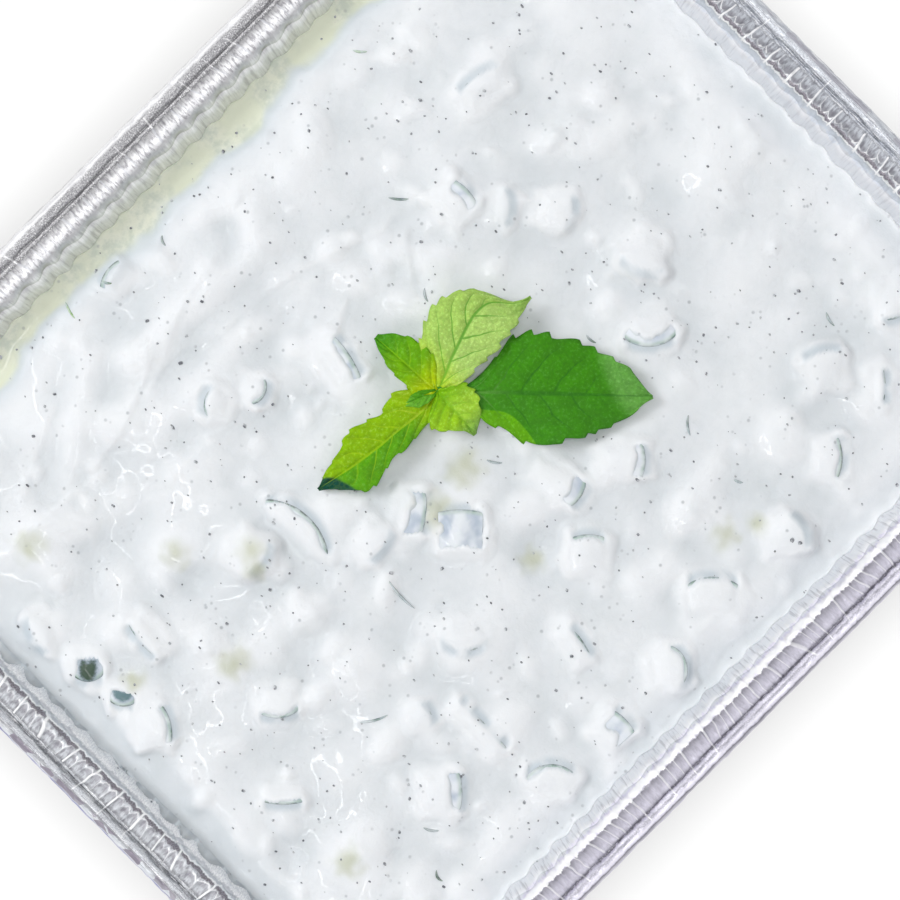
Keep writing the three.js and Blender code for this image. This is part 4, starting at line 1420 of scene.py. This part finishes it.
# %% [markdown]
# Crushed foil holds dark creases and bright crests side by side, because its creases mirror each
# other. Those are finer than the mesh, so the shader paints them into the foil's colour as painted
# reflections, highlights and shade: one colour ramp for each side gives the bands along the rim, by
# the millimetres in from its outer edge. The ribs' painted bright lines, the painted bright arcs and
# shaded dents in the cells between them, and the dark lenses of painted shade at the flange's inner
# edge follow the rib count of the mesh. The side at -Y ends in a band of torn crinkles above the
# wall, painted matt white as a painted highlight.

# %% Foil
# how bright each tone is on a screen, from 0 to 255: the foil's painted reflections and shade
TONES = {
    "bright": 252, "light": 238, "pale": 218, "soft": 204,
    "dull": 190, "shade": 172, "dark": 150, "crease": 122,
}
# millimetres in from the outer edge and the foil's tone there, its reflections and shade painted into
# the colour
PAINTED_RIM_BANDS = {
    "+X": [(0, "shade"), (0.8, "soft"), (2.3, "soft"), (2.9, "pale"), (3.4, "light"), (3.8, "pale"),
           (4.3, "soft"), (4.9, "dull"), (5.7, "light"), (6.3, "shade"), (6.9, "soft"), (7.6, "soft"),
           (8.8, "dull"), (10.3, "shade"), (11.2, "pale"), (11.75, "dark"), (12.2, "dull"),
           (12.8, "pale"), (13.6, "light")],
    "+Y": [(0, "dark"), (0.3, "pale"), (0.6, "bright"), (2, "light"), (2.7, "soft"), (4.3, "dull"),
           (5, "shade"), (5.9, "soft"), (6.3, "shade"), (6.7, "crease"), (7.3, "shade"), (8, "dull"),
           (8.7, "pale"), (9.4, "light"), (10, "bright"), (11, "bright"), (11.8, "pale"),
           (12.3, "dull"), (13, "soft")],
    "-X": [(1.2, "light"), (1.8, "pale"), (2.3, "shade"), (2.8, "shade"), (3.1, "pale"), (4.2, "pale"),
           (4.8, "soft"), (5.2, "dark"), (5.6, "shade"), (6, "soft"), (6.5, "dark"), (7, "shade"),
           (7.6, "soft"), (9.4, "dull"), (10.9, "pale"), (11.5, "pale"), (12.1, "shade"),
           (12.8, "dark"), (13.2, "pale"), (13.7, "soft")],
    "-Y": [(0, "pale"), (0.5, "dull"), (0.9, "shade"), (1.25, "crease"), (1.6, "soft"), (1.9, "light"),
           (2.3, "bright"), (2.7, "light"), (3.1, "pale"), (3.6, "shade"), (4.1, "pale"), (4.5, "light"),
           (4.8, "pale"), (5.1, "crease"), (5.5, "shade"), (6.1, "soft"), (7, "pale"), (8.5, "soft"),
           (9.5, "dull"), (10.2, "shade"), (10.9, "dark"), (11.3, "light"), (11.8, "bright"),
           (12.8, "bright"), (13.4, "light")],
}
# each side's tint, a painted reflection, as shares of red, green and blue, and the colour of its wall,
# which paints in what that wall reflects
PAINTED_RIM_TINTS = {
    "+X": (0.98, 1, 1.03), "+Y": (1, 1, 1.005),
    "-X": (0.985, 1, 1.02), "-Y": (1, 0.988, 1.045),
}
PAINTED_WALL_COLOURS = {
    "+X": (243, 244, 247), "+Y": (232, 233, 230),
    "-X": (246, 247, 247), "-Y": (248, 249, 252),
}
WALL_FROM = 14.0
RIM_REACH = 15.0
# the dark of the foil's creases, streaks and specks: painted shade and dark reflection
PAINTED_DARK = rgb(112, 108, 118)
RIB_GAP_MM = RIB_GAP / MM


def foil_material():
    material, s, principled, where = new_material("crimped foil")
    around, inward, ribs = s.three(s.attribute("rim_at", "Vector"))
    at_x, at_y, at_low_x = s.three(s.attribute("sides", "Vector"))
    at_low_y = 1 - at_x - at_y - at_low_x
    ends = at_x + at_low_x

    # the bands of painted reflection and shade along the rim, which waver a little, and the painted blue
    # glint on the outer edge at -X
    sway = s.flat_noise(around, inward, 0.6, 0.5) - 0.5
    wavy = inward + sway * 1.3 * s.ramp(inward, 0.2, 2.5)
    banded = {}
    for side, bands in PAINTED_RIM_BANDS.items():
        stops = [(mm, [min(255, TONES[tone] * part) for part in PAINTED_RIM_TINTS[side]]) for mm, tone in bands]
        banded[side] = s.colours_at(wavy, RIM_REACH, [*stops, (WALL_FROM, PAINTED_WALL_COLOURS[side])])
    near_top = s.ramp(s.three(where)[2], HEIGHT - 3.1 * MM, HEIGHT - 2.5 * MM)
    glint = near_top * s.ramp(inward, 0.3, 0.9, 1, 0)
    banded["-X"] = s.mix(glint, banded["-X"], rgb(128, 130, 186))
    sides = [(share, banded[side]) for share, side in ((at_x, "+X"), (at_y, "+Y"), (at_low_x, "-X"))]

    # long grooves on the bead, streaks across the flange and specks on the bead, painted as highlights
    # and shade
    past_bead = s.ramp(inward - (5.6 + ends + at_y * 1.3), -0.2, 0.2)
    before_wall = s.ramp(inward - (11.3 + ends * 0.5 + at_y * 0.8), -0.3, 0.3, 1, 0)
    on_flange = past_bead * before_wall
    on_bead = 1 - past_bead
    streaks = s.flat_noise(around, inward, 1.3, 0.4, 3)
    specks = s.flat_noise(around, inward, 2.4, 2.4, 3)
    grain = on_bead * (0.5 + at_y * 0.5) * s.ramp(inward, 2.2, 2.8, 0.25, 1)
    grooves = s.flat_noise(around, inward, 0.12, 3.2, 3)
    on_ends = ends * on_bead * 0.75
    shaded = s.layers(
        banded["-Y"],
        *sides,
        (s.ramp(grooves, 0.54, 0.64) * on_ends, WHITE),
        (s.ramp(grooves, 0.36, 0.44, 0.8, 0) * on_ends, PAINTED_DARK),
        (s.ramp(streaks, 0.36, 0.56, 0.55, 0) * on_flange * (1 - at_low_y * 0.65), PAINTED_DARK),
        (s.ramp(specks, 0.38, 0.55, 0.6 - at_low_y * 0.2, 0) * grain, PAINTED_DARK),
        (s.ramp(specks, 0.55, 0.66, 0, 0.8) * grain, WHITE),
    )

    # the ribs, a strong one and two weak ones to a flute, painted as bright lines, and the bowed cells
    # between them, with painted highlights on their arcs and painted shade in their dents
    from_rib = s.from_whole(ribs) * RIB_GAP_MM
    from_main = s.from_whole(ribs / 3) * (3 * RIB_GAP_MM)
    luck = s.draw(s.math("ROUND", ribs))
    weak = s.ramp(from_rib, 0.08, 0.28, 1, 0) * s.ramp(luck, 0.3, 0.6) * (1 - ends * 0.6)
    line = s.math("MAXIMUM", weak, s.ramp(from_main, 0.2, 0.5, 1, 0))
    bow = s.arch(ribs)
    roam = (s.flat_noise(around, inward, 0.22, 0.05) - 0.5) * 3
    cell_luck = s.draw(s.math("FLOOR", ribs))
    cell_end = 8.9 + at_low_x * 0.5 + bow * 1.3 + roam + cell_luck * 1.4
    dent_shade = s.band(wavy, cell_end - 1.1, 0.35, 0.9) * s.ramp(bow, 0.3, 0.9) * (ends * 0.5)
    arc = s.band(wavy, cell_end, 0.05, 0.4) * (ends * 0.85) * s.ramp(luck, 0.1, 0.5, 0.3, 1)
    crest = s.math("MAXIMUM", line, arc) * on_flange * (ends * 0.4 + 0.5)
    over_bead = s.ramp(from_main, 0.1, 0.35, 0.7, 0) * on_bead * s.ramp(inward, 2.6, 3)
    shaded = s.layers(
        shaded,
        (dent_shade * on_flange, rgb(134, 130, 138)),
        (crest, s.mix(at_y, WHITE, rgb(194, 196, 202))),
        (over_bead * s.ramp(luck, 0.3, 0.7), WHITE),
    )

    # painted shade in the dark lenses where each flute starts, painted highlights on the bright line and
    # spikes beside them, and shards of painted dark reflection on the outer edge
    swell = s.arch(ribs / 3)
    lens_at = 11.7 + at_low_x * 0.7 - swell * 0.3
    lens_half = 0.1 + swell * s.ramp(streaks, 0.4, 0.6, 0.15, 0.5)
    lens = s.band(wavy, lens_at, lens_half, 0.25) * s.ramp(swell, 0.1, 0.4) * ends
    spike = s.ramp(from_main, 0.15, 0.5, 1, 0) * s.band(inward, 12.3, 0.6, 0.4)
    shards_at = s.flat(around * 0.22, inward * 0.35)
    shards = s.output("Color", "ShaderNodeTexVoronoi", Vector=shards_at, Scale=1)
    shard = s.ramp(s.output(0, "ShaderNodeSeparateColor", Color=shards), 0.35, 0.65)
    on_outer = s.ramp(inward, 0.7, 1) * s.ramp(inward, 2.3, 2.7, 1, 0)
    shaded = s.layers(
        shaded,
        (lens * 0.8, s.mix(s.ramp(specks, 0.4, 0.6), rgb(104, 98, 104), rgb(150, 142, 152))),
        (s.band(wavy, lens_at + 0.75, 0.08, 0.25) * (ends * 0.9), WHITE),
        (spike * ends, WHITE),
        (shard * on_outer * (at_low_x * 0.75 + at_x * 0.35), rgb(132, 120, 136)),
    )

    # the wall's facets with painted highlights and shade, the smear of yoghurt at -X, and the torn
    # crinkles at -Y, painted matt white as a painted highlight
    on_wall = s.ramp(inward, 12.4, 13.6)
    facets = s.flat_noise(around, inward, 0.9, 0.25, 3)
    bare_wall = on_wall * (1 - (at_low_x * 0.8 + at_x * 0.5))
    torn = (s.flat_noise(around, inward, 0.45, 0.2, 3) - 0.5) * 3.6 + (streaks - 0.5) * 1.6
    frayed_glare = s.band(inward + torn, 12, 0.65, 0.3) * at_low_y
    shaded = s.layers(
        shaded,
        (s.ramp(facets, 0.5, 0.68, 0, 0.6) * bare_wall, WHITE),
        (s.ramp(facets, 0.34, 0.5, 0.25, 0) * bare_wall, PAINTED_DARK),
        (on_wall * at_low_x * s.ramp(specks, 0.35, 0.65, 0, 0.5), rgb(196, 198, 206)),
        (frayed_glare, rgb(250, 250, 252)),
    )
    crinkle = s.bump(s.noise(where, 420, 3, 0.6), s.ramp(on_wall, 0, 1, 0.35, 0.1), 0.0006)
    s.feed(
        principled,
        Base_Color=shaded,
        Metallic=1 - frayed_glare * 0.8,
        Roughness=s.ramp(on_wall, 0, 1, 0.28, 0.62),
        Normal=s.bump(s.noise(where, 1500, 2, 0.5), 0.3, 0.00012, crinkle),
    )
    return material


# %% [markdown]
# Yoghurt is white because light scatters inside it, so its shader scatters light below the surface.
# Thick clots are whitest, and thin liquid between them is greyer, so the colour follows how far a
# point stands above its surroundings; the grey of the hollows is partly painted shade, and the dip
# is painted lighter next to the wall, painted light against the wall's shade. The wet film on top is
# a smooth coat: its own normal leaves out the fine unevenness, so that a narrow lamp shows in it as
# a thin bright line on each lump.


# %% Yoghurt
def dip_material():
    material, s, principled, where = new_material("yoghurt dip")
    broad = s.noise(where, 60, 3, 0.55)
    small = s.noise(where, 260, 3, 0.6)
    # clots whitest; hollows greyer as thin liquid and as painted shade; painted light near the wall
    clot_and_shade = s.ramp(s.attribute("stands") + small * 0.7, -0.7, 0.95)
    ragged = s.attribute("whey") + (broad - 0.5) * 0.9
    cloudy = s.layers(
        s.mix(s.ramp(small, 0.35, 0.65), rgb(196, 204, 188), rgb(223, 226, 208)),
        (s.ramp(broad, 0.4, 0.6), rgb(215, 220, 198)),
    )
    speck = s.output("Distance", "ShaderNodeTexVoronoi", Vector=where, Scale=330)
    rare = s.ramp(s.noise(where, 150, 1, 0.5), 0.54, 0.66)
    colour = s.layers(
        s.mix(clot_and_shade, rgb(203, 209, 213), rgb(229, 232, 235)),
        (s.ramp(broad, 0.35, 0.65, 0, 0.3), rgb(226, 229, 234)),
        # thin film over the cucumber and on the wall, with painted shade beside the skins
        (s.attribute("thin") * 0.7, rgb(178, 191, 200)),
        # olive spots: whey in the hollows, and painted shade beside the lumps
        (s.attribute("olive") * 0.85, rgb(186, 190, 166)),
        (s.ramp(ragged, 0, 0.5, 0, 0.7), rgb(204, 212, 213)),
        (s.ramp(ragged, 0.3, 1), cloudy),
        (s.ramp(speck, 0.08, 0.26, 0.5, 0) * rare, rgb(128, 134, 140)),
    )
    principled.subsurface_method = "BURLEY"
    s.feed(
        principled,
        Base_Color=colour,
        Roughness=s.ramp(small, 0.3, 0.7, 0.3, 0.5),
        Subsurface_Weight=0.5,
        Subsurface_Radius=(0.0016, 0.0014, 0.0012),
        Subsurface_Scale=1,
        Coat_Weight=0.8,
        Coat_Roughness=0.04,
        Coat_Normal=s.bump(s.noise(where, 160, 1, 0.4), 0.06, 0.0006),
        Normal=s.bump(small, 0.4, 0.0006),
    )
    return material


# %% [markdown]
# A piece of cucumber carries its slice's own coordinates, so its shader knows at every point how deep
# it is under the skin: the slice's radius less the distance from the slice's middle. The skin is a
# thin dark band, the flesh just under it is green, and the rest is pale and watery. On the darkest
# pieces the skin lies flat in the dip, as a dark patch with a dim halo. A broken film of yoghurt lies
# over it all.


# %% Cucumber
def cucumber_material():
    material, s, principled, where = new_material("cucumber")
    ahead, left, radius = s.three(s.attribute("slice", "Vector"))
    dark = s.attribute("dark")
    depth = radius - s.length(ahead, left)
    mottle = s.noise(where, 900, 3, 0.6)
    film = s.ramp(s.noise(where, 170, 2, 0.5), 0.35, 0.65)
    streaks = s.ramp(s.flat_noise(left, ahead, 0.2, 0.05, 0), 0.38, 0.62)
    flesh = s.layers(
        s.mix(streaks, rgb(176, 188, 204), rgb(226, 231, 238)),
        (mottle * 0.25, rgb(190, 202, 206)),
    )
    skin = s.layers(
        s.mix(dark, rgb(140, 158, 162), rgb(14, 46, 28)),
        (s.ramp(mottle, 0.4, 0.7) * 0.35, rgb(120, 160, 110)),
        (s.attribute("fresh"), rgb(116, 168, 40)),
        (s.ramp(s.noise(where, 380, 2, 0.6), 0.42, 0.6, 0, 0.7), rgb(176, 190, 196)),
    )
    rind = s.mix(s.ramp(depth, 0.35, 1.8), rgb(160, 182, 172), flesh)

    # the dark patch and its halo on the pieces whose skin lies flat in the dip
    darkest = s.ramp(dark, 0.85, 1)
    very_dark = s.ramp(dark, 0.8, 0.84)
    across = left / s.ramp(darkest, 0, 1, 2.6, 2.4)
    behind = s.math("MINIMUM", ahead, 0) * -2
    down = (depth + behind - 3) / s.ramp(darkest, 0, 1, 1.3, 2.7)
    away = s.length(across, down) + (mottle - 0.5) * 0.8
    halo = s.ramp(away, 0.8, 1.8, 1, 0) * very_dark
    patch = s.ramp(away, 0.75, 1.3, 1, 0) * very_dark * s.ramp(darkest, 0, 1, 0.75, 1)
    cover = film * (1 - dark * 0.7) * s.ramp(depth, 0.2, 1.4, 0.75, 0.9) * (1 - halo)
    colour = s.layers(
        s.mix(s.ramp(depth, 0.25, 0.6), skin, rind),
        (halo, s.mix(darkest, rgb(138, 156, 166), rgb(112, 132, 146))),
        (patch, s.mix(darkest, rgb(60, 104, 108), rgb(22, 60, 34))),
        (cover, rgb(229, 233, 237)),
    )
    s.feed(
        principled,
        Base_Color=colour,
        Roughness=0.25,
        Subsurface_Weight=0.35,
        Subsurface_Radius=(0.002, 0.0022, 0.0018),
        Coat_Weight=0.8,
        Coat_Roughness=0.05,
        Normal=s.bump(film, 0.5, 0.0004, s.bump(mottle, 0.3, 0.0003)),
    )
    return material


# %% Pepper
def pepper_material():
    material, s, principled, where = new_material("ground pepper")
    grain = s.ramp(s.noise(where, 900, 1, 0.5), 0.35, 0.65)
    colour = s.mix(grain, rgb(108, 111, 117), rgb(190, 193, 197))
    s.feed(principled, Base_Color=colour, Roughness=0.7)
    return material


# %% [markdown]
# All leaves share one pattern of veins, so it is a node group. It reads the leaf's own UV map, which
# the grid brought with it: U runs from base to tip and V from margin to margin. The group puts out a
# mask of the veins, the fine net between them and the blade's puffed height; each leaf's material has
# its own greens.


# %% A node group for the veins
def vein_group():
    group = bpy.data.node_groups.new("leaf veins", "ShaderNodeTree")
    sockets = [
        ("INPUT", "Vector", ("UV", "Place")),
        ("INPUT", "Float", ("Veins", "Slant")),
        ("OUTPUT", "Float", ("Mask", "Net", "Height")),
    ]
    for way, kind, names in sockets:
        for name in names:
            group.interface.new_socket(name, in_out=way, socket_type=f"NodeSocket{kind}")
    s = Shader(group)
    uv, place, count, slant = s.outputs("NodeGroupInput")[:4]
    t, v, _ = s.three(uv)
    across = (v - 0.5) * 2
    margin = s.math("ABSOLUTE", across)
    # the side veins run forward, as on the mesh, and fade towards the margin and the tip
    run = margin * 0.55 + margin * margin * 0.45
    wander = s.noise(place, 130, 2, 0.5) * 0.4
    phase = t * count + wander - 0.2 - run * slant + s.math("SIGN", across) * 0.25
    between = s.math("ABSOLUTE", s.math("SINE", phase * math.pi))
    vein = s.ramp(between, 0.05, s.ramp(margin, 0.1, 1, 0.24, 0.12), 1, 0)
    midrib = s.ramp(margin, 0.02, s.ramp(t, 0, 1, 0.09, 0.05), 1, 0)
    fade = s.ramp(margin, 0.5, 1, 1, 0.15) * s.ramp(t, 0.6, 0.9, 1, 0)
    # the net is the borders of small cells, shaken a little
    nudge = s.output("Color", "ShaderNodeTexNoise", Vector=place, Scale=500)
    shift = s.output(0, "ShaderNodeVectorMath", {"operation": "SCALE"}, _0=nudge, Scale=0.0016)
    bent = s.output(0, "ShaderNodeVectorMath", {"operation": "ADD"}, _0=place, _1=shift)
    to_edge = {"feature": "DISTANCE_TO_EDGE"}
    cells = s.output("Distance", "ShaderNodeTexVoronoi", to_edge, Vector=bent, Scale=620)
    net = s.ramp(cells, 0, 0.18, 1, 0)
    s.add("NodeGroupOutput", Mask=s.math("MAXIMUM", vein * fade, midrib), Net=net, Height=between)
    return group


veins = vein_group()
print("the veins take", len(veins.nodes), "nodes, made once for all leaves")


# %% [markdown]
# A leaf's two sides, its base and its tip each have their own green. Part of the large leaf's right
# side is turned to the light. Over that lies a fine mottle, lighter and darker than the green under
# it, and then the veins.


# %% Mint leaves
def mint_material(name, look, shape):
    material, s, principled, where = new_material(name)
    uv = s.output("UV", "ShaderNodeTexCoord")
    settings = {"node_tree": veins}
    vein_inputs = {"Veins": float(shape["veins"]), "Slant": float(shape["slant"])}
    mask, net, height = s.outputs("ShaderNodeGroup", settings, UV=uv, Place=where, **vein_inputs)
    u, v, _ = s.three(uv)
    mottle = s.noise(where, 300, 3, 0.6)
    bumpy = s.noise(where, 1100, 3, 0.6)
    blade = s.layers(
        s.mix(s.ramp(v, 0.46, 0.54), rgb(*look["right"]), rgb(*look["left"])),
        (s.ramp(u + v * look.get("tip_skew", 0), *look["tip_from"]), rgb(*look["tip"])),
        (s.ramp(u, 0, look["base_to"], 1, 0), rgb(*look["base"])),
    )
    # the part turned to the light lies under an arc on the right side
    if "turned" in look:
        off = (u - 0.3) / 0.17
        turned_to = 0.24 - off * off * 0.24
        blade = s.mix(s.ramp(v - turned_to, -0.03, 0, 1, 0), blade, rgb(*look["turned"]))
    shade = s.output(0, "ShaderNodeHueSaturation", Color=blade, Value=0.7)
    pale = s.output(0, "ShaderNodeHueSaturation", Color=blade, Value=1.3, Saturation=0.9)
    veined = s.math("MAXIMUM", mask * look["vein_share"], net * look["net_share"])
    vein_base = rgb(*look.get("vein_base", look["vein"]))
    colour = s.layers(
        s.mix(s.ramp(mottle, 0.3, 0.7, 0.3, 1), shade, blade),
        (s.ramp(bumpy, 0.5, 0.68, 0, 0.65), shade),
        (s.ramp(bumpy, 0.32, 0.47, 0.55, 0), pale),
        (veined, s.mix(s.ramp(u, 0.05, 0.4), vein_base, rgb(*look["vein"]))),
    )
    normal = s.bump(height, 0.4, 0.0008)
    normal = s.bump(net, -0.3, 0.0002, normal)
    normal = s.bump(mottle, 0.3, 0.0004, normal)
    s.feed(
        principled,
        Base_Color=colour,
        Roughness=s.ramp(mottle, 0.3, 0.7, 0.4, 0.6),
        Specular_IOR_Level=0.2,
        Subsurface_Weight=0.2,
        Subsurface_Radius=(0.0008, 0.0016, 0.0003),
        Normal=s.bump(bumpy, 0.35, 0.0002, normal),
    )
    return material


# greens from 0 to 255; base_to and tip_from: where, along the leaf, the base's green ends and the
# tip's begins; tip_skew: how far that border slants; turned: the part turned to the light; the
# shares: how strongly the colour of the veins and of their net shows
LEAF_LOOKS = {
    "mint_leaf_large": {
        "left": (63, 139, 12), "right": (63, 138, 18), "base": (62, 140, 40), "base_to": 0.3,
        "tip": (104, 168, 72), "tip_from": (0.86, 0.95), "tip_skew": 0.16,
        "vein": (26, 86, 24), "vein_base": (140, 190, 100), "vein_share": 0.42, "net_share": 0.1,
        "turned": (100, 172, 6),
    },
    "mint_leaf_pale": {
        "left": (176, 212, 104), "right": (178, 212, 112), "base": (184, 214, 44), "base_to": 0.3,
        "tip": (156, 200, 92), "tip_from": (0.7, 1.0),
        "vein": (66, 142, 26), "vein_base": (110, 176, 40), "vein_share": 0.75, "net_share": 0.16,
    },
    "mint_leaf_upper": {
        "left": (116, 176, 2), "right": (106, 170, 6), "base": (190, 212, 2), "base_to": 0.45,
        "tip": (66, 144, 20), "tip_from": (0.5, 1.0),
        "vein": (150, 196, 30), "vein_base": (196, 216, 60), "vein_share": 0.36, "net_share": 0.05,
    },
    "mint_leaf_long": {
        "left": (88, 158, 14), "right": (138, 186, 4), "base": (160, 198, 4), "base_to": 0.35,
        # the dark tip is the leaf's folded underside, with painted shade under the fold
        "tip": (14, 76, 60), "tip_from": (0.92, 0.95), "tip_skew": 0.13,
        "vein": (176, 208, 30), "vein_base": (206, 222, 80), "vein_share": 0.36, "net_share": 0.05,
    },
    "mint_leaf_small": {
        "left": (162, 206, 58), "right": (154, 202, 32), "base": (128, 188, 12), "base_to": 0.5,
        "tip": (140, 190, 84), "tip_from": (0.6, 1.0),
        "vein": (96, 164, 34), "vein_share": 0.35, "net_share": 0.1,
    },
    "mint_leaf_bud": {
        "left": (104, 176, 44), "right": (84, 160, 22), "base": (84, 160, 24), "base_to": 0.4,
        "tip": (116, 184, 60), "tip_from": (0.6, 1.0),
        "vein": (130, 190, 50), "vein_share": 0.3, "net_share": 0.05,
    },
}

# %% Dress every piece
foil = foil_material()
for piece in [foil_pan, *rims]:
    finish_piece(piece, ["foil_tray"], foil)
finish_piece(dip, ["tzatziki"], dip_material())
finish_piece(pepper, ["tzatziki"], pepper_material())
cucumber_finish = cucumber_material()
finish_piece(slivers, ["tzatziki"], cucumber_finish)
for index, (piece, _) in enumerate(cucumber):
    finish_piece(piece, [f"cucumber_{index + 1:02d}"], cucumber_finish)
for name, leaf in leaves.items():
    finish = mint_material(name.replace("_", " "), LEAF_LOOKS[name], LEAVES[name])
    finish_piece(leaf, ["mint_sprig"], finish)
stem_finish = mint_material("mint stem", LEAF_LOOKS["mint_leaf_bud"], LEAVES["mint_leaf_bud"])
finish_piece(mint_stem, ["mint_sprig"], stem_finish)
dressed = [foil_pan, *rims, dip, pepper, slivers, *(piece for piece, _ in cucumber)]
dressed += [*leaves.values(), mint_stem]
print("dressed", len(dressed), "pieces")

# %% [markdown]
# ## Floor, light and camera
#
# The tray stands on a plain white floor. The light is soft and bright all round, as in a light tent,
# with one broad lamp from the -X, +Y side to model the lumps. Foil shows what it reflects, so for
# glossy rays the surroundings are brighter overhead and darker low down.

# %% Floor
deselect()
bpy.ops.mesh.primitive_plane_add(size=6, location=(0, 0, 0))
floor = rename("floor")
floor_material, s, principled, _ = new_material("white floor")
s.feed(principled, Base_Color=grey(0.1), Roughness=0.9, Emission_Color=WHITE, Emission_Strength=0.28)
floor.data.materials.append(floor_material)

# %% Light
# where the brightest part of the reflected tent is, and the grey that the tent gives as light
SOFTBOX = tuple(Vector((-0.2, 0.62, 0.85)).normalized())
TENT_GREY = (0.455, 0.453, 0.45, 1.0)


def surroundings():
    """The light tent: an even grey that lights the scene, and what the foil and the wet dip reflect."""
    world = bpy.data.worlds.new("light tent")
    bpy.context.scene.world = world
    world.use_nodes = True
    world.node_tree.nodes.clear()
    s = Shader(world.node_tree)
    direction = s.output("Generated", "ShaderNodeTexCoord")
    height = s.three(direction)[2]
    patches = s.ramp(s.noise(direction, 2.6, 2, 0.5), 0.42, 0.58)
    dot = {"operation": "DOT_PRODUCT"}
    towards = s.output("Value", "ShaderNodeVectorMath", dot, _0=direction, _1=SOFTBOX)
    seen = s.layers(
        grey(0.9, 0.92),
        (s.ramp(height, 0.1, 0.5), s.mix(patches, grey(0.6, 0.62), grey(1.2, 1.22))),
        (s.ramp(height, 0.95, 0.995), grey(0.95, 0.96)),
        (s.ramp(towards, 0.84, 0.93), grey(1.3, 1.31)),
    )
    glossy = s.output("Is Glossy Ray", "ShaderNodeLightPath")
    colour = s.mix(glossy, TENT_GREY, seen)
    background = s.output(0, "ShaderNodeBackground", Color=colour, Strength=1)
    s.add("ShaderNodeOutputWorld", _0=background)


def soft_lamp(name, place, size, power):
    """A rectangular lamp, in metres and watts, that faces the middle of the tray's top."""
    deselect()
    bpy.ops.object.light_add(type="AREA", location=place)
    lamp = bpy.context.object
    lamp.name = name
    lamp.data.shape = "RECTANGLE"
    lamp.data.size, lamp.data.size_y = size
    lamp.data.energy = power
    aim = Vector((0, 0, HEIGHT)) - Vector(place)
    lamp.rotation_euler = aim.to_track_quat("-Z", "Y").to_euler()
    return lamp


def light_only(name, lamps, pieces):
    """Makes the lamps light these pieces and nothing else."""
    lit = bpy.data.collections.new(name)
    for piece in pieces:
        lit.objects.link(piece)
    for lamp in lamps:
        lamp.light_linking.receiver_collection = lit


surroundings()
overhead = soft_lamp("overhead", (0, 0, 2.2), (0.4, 0.4), 11)
key = soft_lamp("key", (-0.9, 1.6, 2.1), (1.0, 1.0), 36)
floor_lamp = soft_lamp("floor_lamp", (0, 0, 2.2), (1.55, 1.55), 385)
strips = [
    soft_lamp("strip_low", (-0.62, -0.1, 1.25), (1.1, 0.022), 0.6),
    soft_lamp("strip_high", (-0.32, 0.12, 1.35), (0.9, 0.018), 0.45),
]
for lamp in (overhead, floor_lamp, key):
    lamp.visible_glossy = False

# The slanting lamps light only the tray and its food, as if flagged off the floor, and the floor
# has an overhead lamp to itself, so that the tray's shadow on it stays narrow and even.
light_only("lit by the floor lamp", [floor_lamp], [floor])
light_only("lit by the slanting lamps", [key, *strips], dressed)
print("lit by", 3 + len(strips), "lamps and the light tent")

# %% [markdown]
# The camera hangs straight above the tray, turned by 45 degrees so that the tray's long side runs
# from lower left to upper right. It sees about 273 mm across at the height of the rim.

# %% Camera
# the middle and the width of the view at the rim's height, and how far above it the camera is
VIEW_CENTRE = (-3.5 * MM, -7.2 * MM)
VIEW_WIDTH = 272.8 * MM
CAMERA_HEIGHT = 0.7
RIM_PLANE = 64 * MM
SENSOR = 36.0

place = (*VIEW_CENTRE, RIM_PLANE + CAMERA_HEIGHT)
bpy.ops.object.camera_add(location=place, rotation=(0, 0, -math.pi / 4))
camera = bpy.context.object
camera.data.sensor_width = SENSOR
camera.data.lens = SENSOR * CAMERA_HEIGHT / VIEW_WIDTH
bpy.context.scene.camera = camera
bpy.context.scene.view_settings.view_transform = "Standard"
print("the lens is", round(camera.data.lens, 1), "mm")
